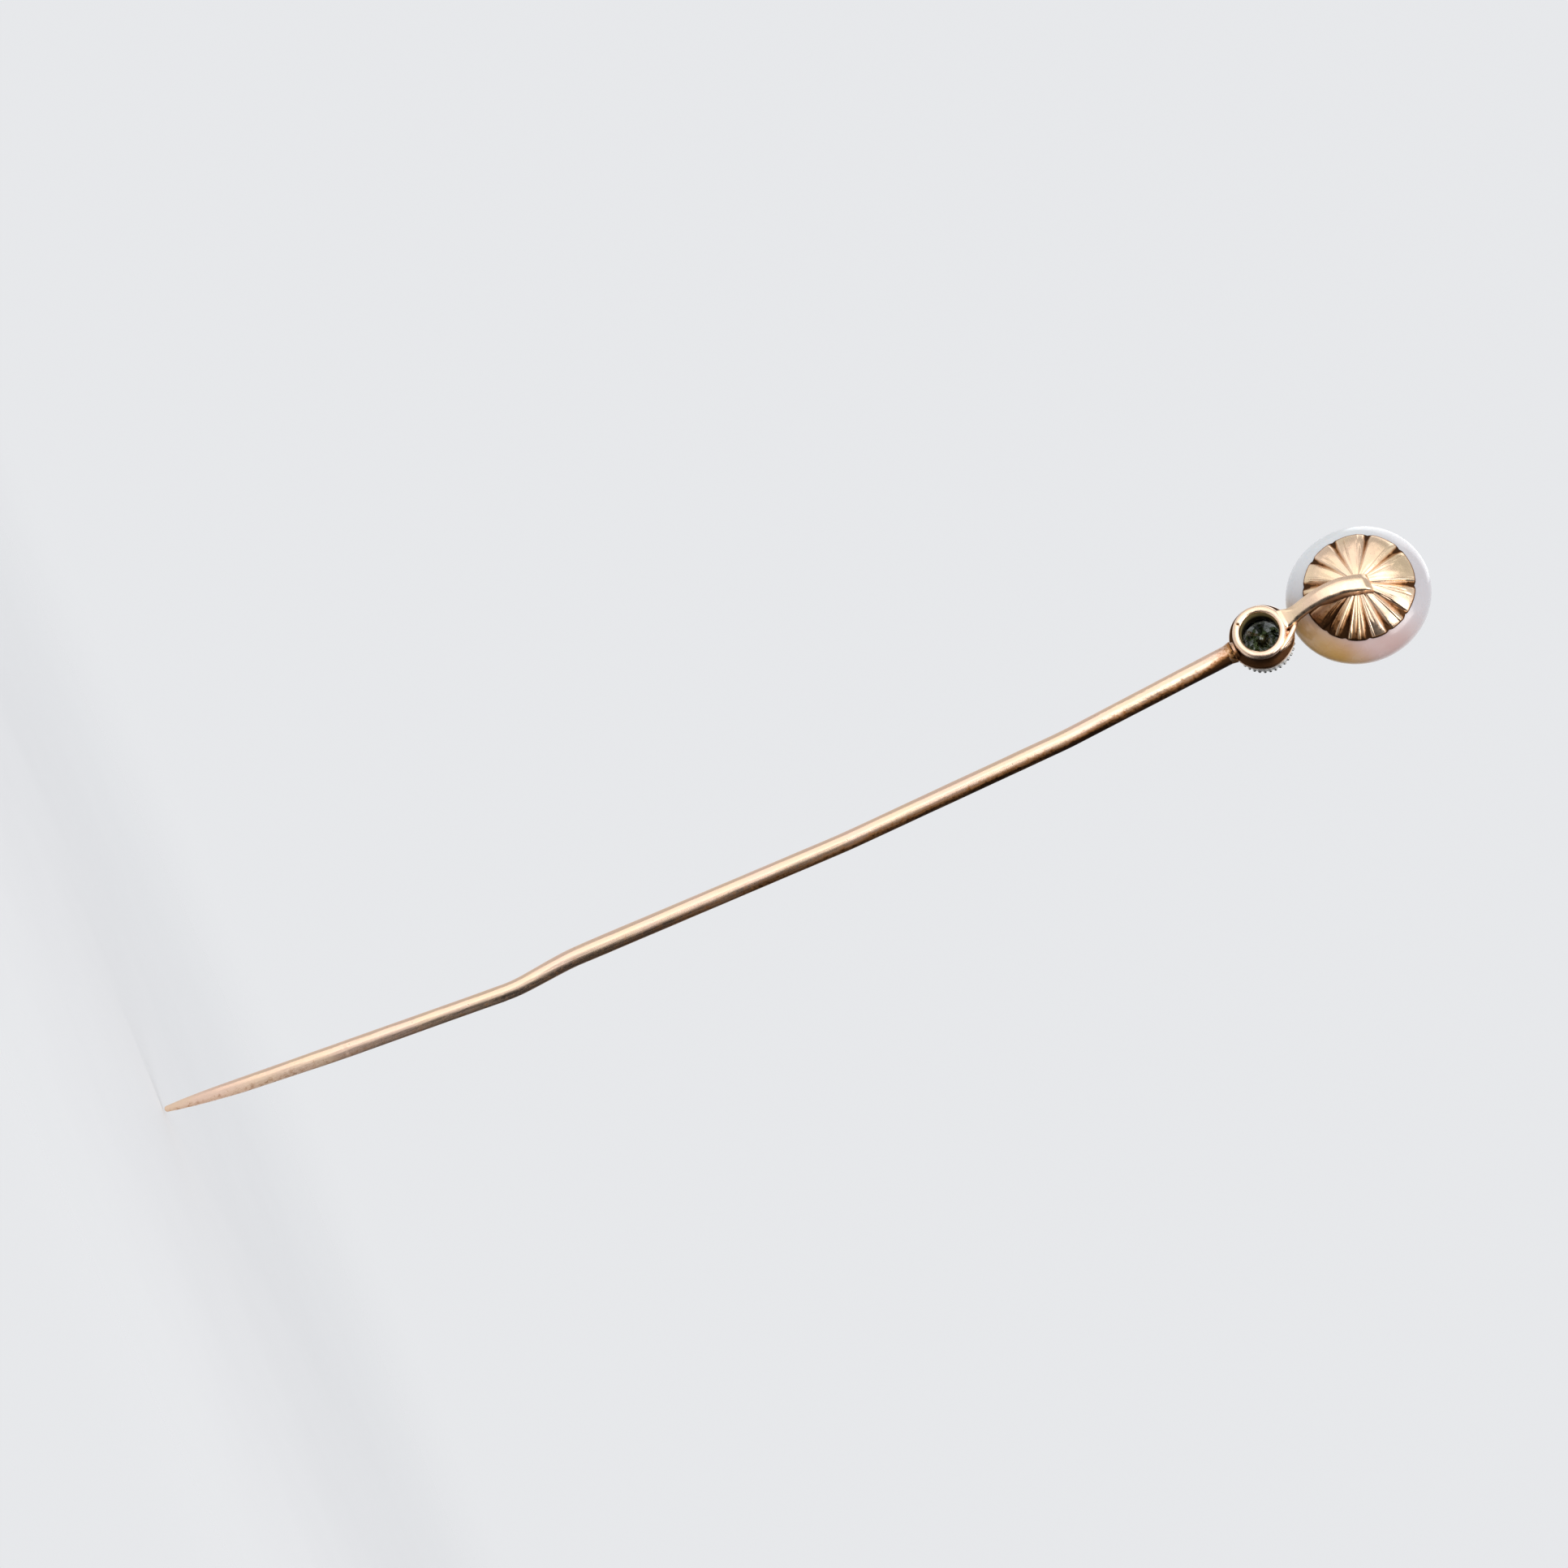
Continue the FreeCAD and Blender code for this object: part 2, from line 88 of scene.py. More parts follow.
class Builder:
    """Collects points and faces of one piece, in millimetres."""

    def __init__(self):
        self.points = []
        self.faces = []
        self.marks = []

    def rings(self, rows, marks=None, loop=False):
        """Join rows of points, each a closed ring, and close the ends with a fan, or join them up."""
        rows = np.asarray(rows, float)
        count, around = rows.shape[:2]
        base = len(self.points)
        self.points.extend(rows.reshape(-1, 3).tolist())
        flat = np.zeros(count * around) if marks is None else np.asarray(marks, float).reshape(-1)
        self.marks.extend(flat.tolist())
        for row in range(count if loop else count - 1):
            upper = base + ((row + 1) % count) * around
            lower = base + row * around
            for side in range(around):
                nxt = (side + 1) % around
                self.faces.append((lower + side, lower + nxt, upper + nxt, upper + side))
        if not loop:
            self.fan(base, around, rows[0], flat[0], flip=True)
            self.fan(base + (count - 1) * around, around, rows[-1], flat[-1], flip=False)

    def fan(self, first, around, ring, mark, flip):
        centre = len(self.points)
        self.points.append(ring.mean(axis=0).tolist())
        self.marks.append(float(mark))
        for side in range(around):
            nxt = (side + 1) % around
            face = (first + side, first + nxt, centre)
            self.faces.append(face[::-1] if flip else face)

    def make(self, name, material, node):
        """Make the object, which rides on the pin and stands for a CAD node."""
        mesh = bpy.data.meshes.new(name)
        mesh.from_pydata([[c * MM for c in point] for point in self.points], [], self.faces)
        tarnish_and_shade = mesh.attributes.new("tarnish_and_shade", "FLOAT", "POINT")
        tarnish_and_shade.data.foreach_set("value", self.marks)
        solid = bmesh.new()
        solid.from_mesh(mesh)
        bmesh.ops.recalc_face_normals(solid, faces=solid.faces)
        solid.to_mesh(mesh)
        solid.free()
        mesh.polygons.foreach_set("use_smooth", [True] * len(mesh.polygons))
        mesh.materials.append(material)
        piece = bpy.data.objects.new(name, mesh)
        bpy.context.scene.collection.objects.link(piece)
        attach(piece, "root")
        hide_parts(node)


def round_corners(corners, radius, steps=5):
    """A closed outline with each corner rounded by a short curve."""
    corners = np.asarray(corners, float)
    outline = []
    for index, corner in enumerate(corners):
        before = corners[index - 1] - corner
        after = corners[(index + 1) % len(corners)] - corner
        reach = min(radius, 0.45 * np.linalg.norm(before), 0.45 * np.linalg.norm(after))
        start = corner + before / np.linalg.norm(before) * reach
        end = corner + after / np.linalg.norm(after) * reach
        for share in np.linspace(0, 1, steps):
            outline.append((1 - share) ** 2 * start + 2 * share * (1 - share) * corner + share ** 2 * end)
    return np.array(outline)


# ---------------------------------------------------------------- materials

class Nodes:
    """A material's node tree, with short calls for the nodes used here."""

    def __init__(self, name):
        self.material = bpy.data.materials.new(name)
        self.material.use_nodes = True
        self.tree = self.material.node_tree
        self.shader = self.tree.nodes["Principled BSDF"]
        self.place = self.add("TexCoord").outputs["Object"]

    def add(self, kind):
        return self.tree.nodes.new("ShaderNode" + kind)

    def link(self, source, target):
        self.tree.links.new(source, target)

    def feed(self, name, source):
        """Drive one of the surface's inputs."""
        self.link(source, self.shader.inputs[name])

    def noise(self, scale, detail=3.0, rough=0.5):
        """Noise with one scale, or a scale for each axis, in turns per metre."""
        mapping = self.add("Mapping")
        mapping.inputs["Scale"].default_value = scale if isinstance(scale, tuple) else (scale,) * 3
        self.link(self.place, mapping.inputs["Vector"])
        node = self.add("TexNoise")
        node.inputs["Scale"].default_value = 1.0
        node.inputs["Detail"].default_value = detail
        node.inputs["Roughness"].default_value = rough
        self.link(mapping.outputs["Vector"], node.inputs["Vector"])
        return node.outputs["Fac"]

    def cells(self, scale):
        node = self.add("TexVoronoi")
        node.inputs["Scale"].default_value = scale
        self.link(self.place, node.inputs["Vector"])
        return node.outputs["Distance"]

    def steps(self, source, low, high, to_low=0.0, to_high=1.0):
        """Map a value from one range to another, with a smooth change between."""
        node = self.add("MapRange")
        node.interpolation_type = "SMOOTHSTEP"
        node.inputs["From Min"].default_value = low
        node.inputs["From Max"].default_value = high
        node.inputs["To Min"].default_value = to_low
        node.inputs["To Max"].default_value = to_high
        self.link(source, node.inputs["Value"])
        return node.outputs["Result"]

    def maths(self, operation, first, second):
        node = self.add("Math")
        node.operation = operation
        node.use_clamp = operation in ("ADD", "MULTIPLY", "SUBTRACT")
        for socket, item in zip(node.inputs, (first, second)):
            if isinstance(item, (int, float)):
                socket.default_value = item
            else:
                self.link(item, socket)
        return node.outputs["Value"]

    def mix(self, share, first, second):
        """Mix two colours, each a tuple or a socket."""
        node = self.add("Mix")
        node.data_type = "RGBA"
        node.clamp_factor = True
        self.link(share, node.inputs["Factor"])
        for socket, item in ((node.inputs[6], first), (node.inputs[7], second)):
            if isinstance(item, tuple):
                socket.default_value = (*item, 1.0)
            else:
                self.link(item, socket)
        return node.outputs[2]

    def marks(self):
        node = self.add("Attribute")
        node.attribute_name = "tarnish_and_shade"
        return node.outputs["Fac"]

    def along(self, direction, low, high):
        """How far a place lies along a direction, from 0 at low to 1 at high, in metres."""
        node = self.add("VectorMath")
        node.operation = "DOT_PRODUCT"
        node.inputs[1].default_value = direction
        self.link(self.place, node.inputs[0])
        return self.steps(node.outputs["Value"], low, high)

    def bump(self, height, depth, strength=1.0, after=None):
        node = self.add("Bump")
        node.inputs["Strength"].default_value = strength
        node.inputs["Distance"].default_value = depth
        self.link(height, node.inputs["Height"])
        if after is not None:
            self.link(after, node.inputs["Normal"])
        return node.outputs["Normal"]

    def set(self, **values):
        for name, item in values.items():
            self.shader.inputs[name.replace("_", " ")].default_value = item


GOLD_ROSE = (0.95, 0.70, 0.51)
GOLD_YELLOW = (0.96, 0.74, 0.49)
GOLD_PINK = (0.95, 0.68, 0.53)
GOLD_DARK = (0.07, 0.03, 0.012)
GOLD_TARNISH_AND_SHADE = (0.42, 0.19, 0.07)
OLIVE_FILM = (0.62, 0.50, 0.24)
BORE_PAINTED_SHADE = (0.03, 0.022, 0.01)
# The mesh's mark is brown and then black up to 1, for tarnishing and for painted shade alike, and the bore's
# olive coating, then painted shade deep in the bore, from OLIVE_MARK on.
OLIVE_MARK = 1.3
UPWARD = (0.0, 0.0, 1.0)
# The rubbed stretch of the wire, from the frame's origin in metres.
WORN_FROM, WORN_TO, WORN_EDGE = 0.0325, 0.0368, 0.0006


def tarnished_and_shaded(nodes, colour, mark_noise):
    """Lay brown and then black over a colour where the mesh is marked, for tarnishing and for painted shade;
    also says how brown each place is.
    """
    speckle = nodes.noise(5200, detail=3, rough=0.7)
    uneven = nodes.maths("MULTIPLY", nodes.maths("SUBTRACT", speckle, 0.5), mark_noise)
    brown = nodes.steps(nodes.maths("ADD", nodes.marks(), uneven), 0.12, 0.75)
    coarse = nodes.maths("MULTIPLY", nodes.maths("SUBTRACT", speckle, 0.45), 0.9)
    dark = nodes.steps(nodes.maths("ADD", nodes.marks(), coarse), 0.62, 0.95)
    return nodes.mix(dark, nodes.mix(brown, colour, GOLD_TARNISH_AND_SHADE), GOLD_DARK), brown


def filmed(nodes, colour):
    """Lay the olive coating of the bore over a colour, turning to painted shade where it lies deep."""
    olive = nodes.steps(nodes.marks(), 1.1, OLIVE_MARK)
    # The darkening with depth is painted shade in the deep bore.
    depth = nodes.steps(nodes.marks(), OLIVE_MARK + 0.1, OLIVE_MARK + 0.6)
    return nodes.mix(olive, colour, nodes.mix(depth, OLIVE_FILM, BORE_PAINTED_SHADE))


def pitted(nodes, pits):
    """Small scattered pits, 1 at a pit's middle at full strength."""
    pit = nodes.steps(nodes.cells(2600), 0.03, 0.12, 1.0, 0.0)
    pit = nodes.maths("MULTIPLY", pit, nodes.steps(nodes.noise(1900), 0.56, 0.62))
    return nodes.maths("MULTIPLY", pit, pits)


def scuffed(nodes):
    """Scuffs on the rubbed stretch of the wire, and none elsewhere."""
    entered = nodes.along(UPWARD, WORN_FROM, WORN_FROM + WORN_EDGE)
    left = nodes.along(UPWARD, WORN_TO - WORN_EDGE, WORN_TO)
    rubbed = nodes.maths("MULTIPLY", entered, nodes.maths("SUBTRACT", 1.0, left))
    return nodes.maths("MULTIPLY", nodes.noise((2600, 2600, 1700), detail=4, rough=0.6), rubbed)


def gold(name, tints, streak=3200, rough=0.21, mark_noise=0.5, pits=0.35):
    """Worn rose-yellow gold: brown and black where the mesh is marked, for tarnishing and for painted shade,
    with streaks, pits and a soft grain.
    """
    nodes = Nodes(name)
    patches = nodes.steps(nodes.noise(520, detail=2), 0.35, 0.65)
    colour, brown = tarnished_and_shaded(nodes, nodes.mix(patches, *tints), mark_noise)
    pit = pitted(nodes, pits)
    colour = filmed(nodes, nodes.mix(pit, colour, GOLD_DARK))
    nodes.feed("Base Color", colour)
    grain = nodes.noise(streak, detail=5, rough=0.6)
    roughness = nodes.maths("ADD", nodes.steps(grain, 0.3, 0.7, rough - 0.05, rough + 0.08),
                            nodes.maths("MULTIPLY", brown, 0.28))
    nodes.feed("Roughness", roughness)
    nodes.set(Metallic=1.0)
    relief = nodes.bump(nodes.noise((900, 900, 700), detail=2), 0.00004, 0.35)
    relief = nodes.bump(grain, 0.00002, 0.5, after=relief)
    relief = nodes.bump(scuffed(nodes), 0.00005, 0.5, after=relief)
    relief = nodes.bump(nodes.maths("SUBTRACT", 1.0, pit), 0.00002, 0.8, after=relief)
    nodes.feed("Normal", relief)
    return nodes.material


def solder_alloy():
    """Dull brownish solder, lumpy, brown and black where the mesh is marked: tarnishing at the neck, painted
    shade low on the arm's web.
    """
    nodes = Nodes("solder_alloy")
    uneven = nodes.steps(nodes.noise(3400, detail=4, rough=0.65), 0.38, 0.66, 0.0, 0.55)
    patches = nodes.steps(nodes.maths("ADD", nodes.marks(), uneven), 0.45, 1.05)
    colour = nodes.mix(patches, (0.95, 0.69, 0.50), (0.42, 0.19, 0.06))
    half_marks = nodes.maths("MULTIPLY", nodes.marks(), 0.55)
    dark = nodes.steps(nodes.maths("ADD", half_marks, uneven), 0.72, 1.0)
    colour = nodes.mix(dark, colour, GOLD_DARK)
    nodes.feed("Base Color", colour)
    nodes.feed("Roughness", nodes.steps(patches, 0, 1, 0.2, 0.45))
    nodes.set(Metallic=1.0)
    nodes.feed("Normal", nodes.bump(nodes.noise(2600, detail=3), 0.00004, 0.6))
    return nodes.material


def white_metal():
    """Platinum with fine scratches and a little dark wear in scattered patches."""
    nodes = Nodes("white_metal")
    veil = nodes.steps(nodes.noise(2800, detail=4), 0.52, 0.75)
    nodes.feed("Base Color", nodes.mix(veil, (0.68, 0.67, 0.64), (0.22, 0.18, 0.14)))
    nodes.feed("Roughness", nodes.steps(veil, 0, 1, 0.16, 0.42))
    nodes.set(Metallic=1.0)
    nodes.feed("Normal", nodes.bump(nodes.noise(1800, detail=2), 0.00003, 0.5))
    return nodes.material


def diamond_glass(name, clear, darker_colour):
    """Cut diamond whose colour runs in noise patches from clear to darker: a faint haze on the crown; on the
    pavilion both colours are near black, painted shade seen through the stone, and the clearer patches are
    painted glints.
    """
    nodes = Nodes(name)
    film_and_glints = nodes.steps(nodes.noise(3000, detail=3), 0.40, 0.56)
    nodes.feed("Base Color", nodes.mix(film_and_glints, clear, darker_colour))
    nodes.feed("Roughness", nodes.steps(film_and_glints, 0, 1, 0.0, 0.05))
    nodes.set(Transmission_Weight=1.0, IOR=2.42)
    return nodes.material


def nacre():
    """Pearl under a clear lustre, in broad soft zones: bluish white above, partly a painted reflection;
    lilac on the lower and right sides, painted shade; pink and ochre overtones low down, darkened there by
    painted shade as well.
    """
    nodes = Nodes("nacre")
    drift = nodes.maths("SUBTRACT", nodes.noise(260, detail=2), 0.3)
    wander = nodes.maths("MULTIPLY", drift, 0.35)
    cool = (0.84, 0.88, 0.91)
    lilac = (0.52, 0.49, 0.52)
    pink = (0.60, 0.37, 0.33)
    ochre = (0.53, 0.29, 0.06)
    # The lower and right sides are laid lilac: painted shade.
    low_side_shade = nodes.along((-0.914, 0.0, -0.405), -0.0225, -0.0150)
    colour = nodes.mix(nodes.maths("ADD", low_side_shade, wander), cool, lilac)
    right_side_shade = nodes.along((-0.35, 0.0, 0.937), 0.0420, 0.0452)
    colour = nodes.mix(nodes.maths("MULTIPLY", right_side_shade, 0.9), colour, lilac)
    foot = nodes.along((-0.90, 0.0, -0.43), -0.0200, -0.0176)
    colour = nodes.mix(nodes.maths("MULTIPLY", foot, 0.8), colour, pink)
    yellow = nodes.along((-0.506, -0.109, -0.856), -0.03770, -0.03635)
    colour = nodes.mix(yellow, colour, ochre)
    faint = nodes.steps(nodes.noise(700, detail=3), 0.35, 0.7, 0.0, 0.12)
    colour = nodes.mix(faint, colour, (0.86, 0.84, 0.82))
    nodes.feed("Base Color", colour)
    nodes.feed("Roughness", nodes.steps(nodes.noise(900, detail=2), 0.3, 0.7, 0.22, 0.32))
    nodes.set(IOR=1.6, Coat_Weight=0.55, Coat_Roughness=0.11, Coat_IOR=1.5, Subsurface_Weight=0.25,
              Subsurface_Scale=0.0006, Subsurface_Radius=(1.0, 0.8, 0.7), Sheen_Weight=0.15)
    nodes.feed("Normal", nodes.bump(nodes.noise(420, detail=1), 0.00003, 0.25))
    return nodes.material


def cement():
    """Old yellowed pearl cement."""
    nodes = Nodes("cement_wax")
    patches = nodes.steps(nodes.noise(2200, detail=3), 0.35, 0.7)
    nodes.feed("Base Color", nodes.mix(patches, (0.50, 0.40, 0.24), (0.30, 0.21, 0.11)))
    nodes.feed("Roughness", nodes.steps(patches, 0, 1, 0.45, 0.7))
    return nodes.material


# ---------------------------------------------------------------- stem

# The wire's straight stretches from the point up, each a length and a lean from upright in degrees.
POINT, TAPER = 3.3, 4.7
GRIP_FIRST = 3
NECK_LEAN = 3.8
LEANS = [(POINT, -6.4), (TAPER, -5.1), (0.4, -4.4), (7.4, -4.4), (0.6, -4.4), (2.7, 5.3), (13.3, -0.9),
         (10.8, 1.1), (9.75, NECK_LEAN)]
GRIP_START = POINT + TAPER + 0.4
GRIP_END = GRIP_START + 7.4
TIP_RADIUS = 0.14
COLLET = np.array([0.564, 40.80])
FLANGE_RADIUS = 1.47
NECK_RADIUS, NECK_SINK = 0.46, 0.24
# The wire's radius at places along it, measured from the point.
WIRE_SIZES = [(0, TIP_RADIUS), (0.2 * POINT, 0.205), (0.5 * POINT, 0.272), (0.78 * POINT, 0.315),
              (POINT, 0.335), (POINT + 0.25 * TAPER, 0.3495), (POINT + 0.6 * TAPER, 0.366), (8.0, 0.385),
              (8.4, 0.385), (16.4, 0.386), (19.1, 0.42), (25, 0.425), (32.4, 0.425), (43.2, 0.43)]
STATIONS = 700
AROUND_STEM = 56
FINE_STEPS = 6000
EASE_REACH, EASE_WIDTH = 160, 44.0
# Where the painted shade on the wire's underside starts to grow and where it is full, from the point.
UNDERSIDE_SHADE_FROM, UNDERSIDE_SHADE_FULL = 16.0, 40.0
# The neck's solder: its start from the collet's axis, its length, and how far it stands off the wire.
COLLAR_START, COLLAR_LONG = 1.40, 0.58
COLLAR_THICK, COLLAR_FEATHER, COLLAR_BURIED = 0.050, 0.036, 0.038


def stem_line():
    """The stem's middle line from the point to the collet's wall, with its bends eased."""
    corners = [np.zeros(2)]
    for length, lean in LEANS:
        angle = math.radians(lean)
        corners.append(corners[-1] + length * np.array([math.sin(angle), math.cos(angle)]))
    corners = np.array(corners)
    corners -= (corners[GRIP_FIRST] + corners[GRIP_FIRST + 1]) / 2
    reach = np.concatenate([[0], np.cumsum([length for length, _ in LEANS])])
    fine = np.linspace(0, reach[-1], FINE_STEPS)
    line = np.stack([np.interp(fine, reach, corners[:, axis]) for axis in range(2)], axis=1)
    kernel = np.exp(-(np.arange(-EASE_REACH, EASE_REACH + 1) / EASE_WIDTH) ** 2 / 2)
    kernel /= kernel.sum()
    for axis in range(2):
        below = 2 * line[0, axis] - line[EASE_REACH:0:-1, axis]
        above = 2 * line[-1, axis] - line[-2:-EASE_REACH - 2:-1, axis]
        padded = np.concatenate([below, line[:, axis], above])
        line[:, axis] = np.convolve(padded, kernel, mode="valid")
    return fine, line


def make_stem(material):
    """The drawn and filed wire: needle point, grip, kink, long shank and neck."""
    fine, line = stem_line()
    total = fine[-1]
    radius_at, radius = zip(*WIRE_SIZES, (total, NECK_RADIUS))
    last = total - (FLANGE_RADIUS - NECK_SINK)
    places = np.concatenate([np.linspace(0, 3.4, 60, endpoint=False), np.linspace(3.4, last, STATIONS)])
    around = np.linspace(0, 2 * math.pi, AROUND_STEM, endpoint=False)
    stations = []
    for turn in np.linspace(0.08, 1, 9, endpoint=False) * math.pi / 2:
        stations.append((0.0, -TIP_RADIUS * math.cos(turn), TIP_RADIUS * math.sin(turn)))
    stations += [(place, 0.0, None) for place in places]
    rows, marks = [], []
    for place, offset, size in stations:
        middle = np.array([np.interp(place, fine, line[:, axis]) for axis in range(2)])
        ahead = np.array([np.interp(min(place + 0.2, total), fine, line[:, axis]) for axis in range(2)])
        behind = np.array([np.interp(max(place - 0.2, 0), fine, line[:, axis]) for axis in range(2)])
        direction = (ahead - behind) / np.linalg.norm(ahead - behind)
        side = np.array([direction[1], -direction[0]])
        middle = middle + offset * direction
        thick = size if size is not None else float(smooth_line(np.array([place]), radius_at, radius)[0])
        in_grip = GRIP_START <= place <= GRIP_END
        wear = 0.0 if in_grip or size is not None else 1.0
        flats = 0.010 * np.cos(6 * around + 0.35 * place) + 0.012 * ripple(around * 2 + place * 0.9, 5)
        swell = 0.008 * float(ripple(np.array([place * 1.3]), 9)[0])
        ring = thick * (1 - wear * (0.012 + flats * 0.6 - swell))
        across = ring * np.cos(around)
        rows.append(np.stack([middle[0] + across * side[0], ring * np.sin(around),
                              middle[1] + across * side[1]], axis=1))
        # The wire's underside, turned from the light, is painted darker: painted shade, growing towards the
        # neck, with brown speckle from the material's noise.
        under = np.clip((-np.cos(around) - 0.12) / 0.75, 0, 1)
        patch = 0.5 + 0.5 * ripple(np.full(AROUND_STEM, place * 0.8) + around, 21)
        burnt = 0.62 * np.exp(-(max(total - 1.7 - place, 0.0) / 0.9) ** 1.5) * (0.3 + 0.7 * patch)
        underside_shade_strength = 0.40 + 0.60 * np.clip((place - UNDERSIDE_SHADE_FROM) / (UNDERSIDE_SHADE_FULL - UNDERSIDE_SHADE_FROM), 0, 1)
        marks.append(np.clip(underside_shade_strength * under * (0.72 + 0.3 * patch) + burnt, 0, 1))
    stem = Builder()
    stem.rings(rows, marks)
    stem.make("pin_stem", material, "stem")


def make_stem_solder(material):
    """A low lumpy collar of solder between the wire's end and the collet."""
    lean = math.radians(NECK_LEAN)
    axis = np.array([-math.sin(lean), 0, -math.cos(lean)])
    side = np.array([math.cos(lean), 0, -math.sin(lean)])
    centre = np.array([COLLET[0], 0, COLLET[1]])
    rows, marks = [], []
    for turn in np.linspace(0, 2 * math.pi, 72, endpoint=False):
        lump = 1 + 0.22 * float(ripple(np.array([turn * 3]), 31)[0])
        profile, mark = [], []
        for share in np.linspace(0, 1, 12):
            thick = COLLAR_THICK * lump * (1 - share) ** 3 - COLLAR_FEATHER * share
            profile.append((COLLAR_START + COLLAR_LONG * share * lump, NECK_RADIUS + thick))
            mark.append(1.0 - 0.75 * share)
        for share in np.linspace(1, 0, 6):
            profile.append((COLLAR_START + COLLAR_LONG * share * lump, NECK_RADIUS - COLLAR_BURIED))
            mark.append(0.9)
        marks.append(mark)
        rows.append([centre + axis * along + side * size * math.cos(turn)
                     + np.array([0, size * math.sin(turn), 0]) for along, size in profile])
    bead = Builder()
    bead.rings(rows, marks, loop=True)
    bead.make("neck_solder", material, "stem_solder")


# ---------------------------------------------------------------- collet, bezel and diamond

# The ring's section: distance from its axis and height towards the back.
COLLET_PROFILE = [(0.85, -0.15), (0.85, 0.3), (0.85, 0.82), (0.868, 0.98), (0.925, 1.07), (1.0, 1.098),
                  (1.08, 1.098), (1.16, 1.06), (1.21, 0.98), (1.222, 0.88), (1.2, 0.76), (1.168, 0.62),
                  (1.16, 0.5), (1.18, 0.38), (1.24, 0.28), (1.33, 0.2), (1.42, 0.14), (1.462, 0.06),
                  (1.468, 0.0), (1.455, -0.08), (1.40, -0.14), (1.33, -0.15), (1.1, -0.15)]
NICK_ANGLE, DENT_ANGLE = 313, 215
BORE_SIZE, LIP_MIDDLE = 0.872, 1.02
BEZEL_PROFILE = [(1.122, -0.155), (1.122, -0.58), (1.122, -1.0), (1.15, -1.045), (1.2, -1.06), (1.28, -1.06),
                 (1.335, -1.03), (1.352, -0.96), (1.352, -0.5), (1.352, -0.2), (1.33, -0.155)]
GRAINS = 34
GRAIN_RADIUS, GRAIN_RING, GRAIN_FACE = 0.092, 1.29, -1.035
SCALLOP_DEPTH = 0.018
# The stone: distance from the axis and height of its table, kites, girdle, pavilion and culet corners.
TABLE_SIZE, TABLE_FACE = 0.55, -0.965
KITE_SIZE, KITE_FACE = 0.82, -0.80
GIRDLE_SIZE, GIRDLE_FRONT, GIRDLE_BACK = 1.1, -0.605, -0.555
PAVILION_SIZE, PAVILION_HEIGHT = 0.60, -0.13
CULET_SIZE, CULET_HEIGHT = 0.02, 0.352
STONE_SHRINK = 0.995
STONE_TURN = 9


def closed_curve(corners, steps=5):
    """A smooth closed curve through every corner."""
    corners = np.asarray(corners, float)
    count = len(corners)
    curve = []
    for index in range(count):
        before, start = corners[index - 1], corners[index]
        end, after = corners[(index + 1) % count], corners[(index + 2) % count]
        for share in np.linspace(0, 1, steps, endpoint=False):
            curve.append(0.5 * (2 * start + (end - before) * share
                                + (2 * before - 5 * start + 4 * end - after) * share ** 2
                                + (3 * start - before - 3 * end + after) * share ** 3))
    return np.array(curve)


def ring_point(angle, size, height):
    """A point about the collet's axis; the angle runs from +X towards +Z."""
    return (COLLET[0] + size * math.cos(angle), height, COLLET[1] + size * math.sin(angle))


def make_collet(material):
    """The open-backed ring with its rolled lip, hollowed wall and thin flange."""
    profile = closed_curve(COLLET_PROFILE)
    rows, marks = [], []
    for angle in np.linspace(0, 2 * math.pi, 240, endpoint=False):
        uneven = 0.008 * float(ripple(np.array([angle * 3]), 41)[0])
        nick = bump_at(off_angle(math.degrees(angle), NICK_ANGLE), 2.4)
        dent = bump_at(off_angle(math.degrees(angle), DENT_ANGLE), 14)
        row, mark = [], []
        for size, height in profile:
            on_lip = np.clip((height - 0.8) / 0.3, 0, 1) if size > 0.9 else 0.0
            spread = 1 + uneven * (1 if size > 0.9 else 0)
            across = bump_at(size - LIP_MIDDLE, 0.10)
            sunk = on_lip * (0.04 * nick * across + 0.02 * dent)
            row.append(ring_point(angle, size * spread, height - sunk))
            # Inside the bore the mark reaches the olive coating, then painted shade as the bore deepens.
            inside = OLIVE_MARK + 0.75 * np.clip((0.86 - height) / 0.7, 0, 1) if size < BORE_SIZE else 0.0
            # The hollow wall between lip and flange is painted dark: painted shade.
            waist_shade = np.clip((0.94 - height) / 0.15, 0, 1) if 1.1 < size < 1.45 and height > 0.03 else 0.0
            worn = 0.20 * on_lip * (0.5 + 0.5 * float(ripple(np.array([angle * 4 + size * 9]), 43)[0]))
            mark.append(max(inside, waist_shade, worn, nick * across * on_lip))
        rows.append(row)
        marks.append(mark)
    ring = Builder()
    ring.rings(rows, marks, loop=True)
    ring.make("setting_ring", material, "collet")


def make_bezel(material):
    """The white metal gallery ring with a row of grains round its front edge."""
    curve = closed_curve(BEZEL_PROFILE, 3)
    band = Builder()
    rows = []
    for angle in np.linspace(0, 2 * math.pi, 192, endpoint=False):
        scallop = SCALLOP_DEPTH * (math.cos(GRAINS * angle) - 1)
        rows.append([ring_point(angle, size + (scallop * min(1.0, -height) if size > 1.3 else 0), height)
                     for size, height in curve])
    band.rings(rows, loop=True)
    turns = np.linspace(0, 2 * math.pi, 14, endpoint=False)
    for index in range(GRAINS):
        centre = np.array(ring_point(2 * math.pi * index / GRAINS, GRAIN_RING, GRAIN_FACE))
        sphere = []
        for tilt in np.linspace(0.12, math.pi - 0.12, 9):
            wide, deep = math.sin(tilt), -math.cos(tilt)
            spots = [(wide * math.cos(turn), deep, wide * math.sin(turn)) for turn in turns]
            sphere.append(centre + GRAIN_RADIUS * np.array(spots))
        band.rings(sphere)
    band.make("gallery", material, "bezel")


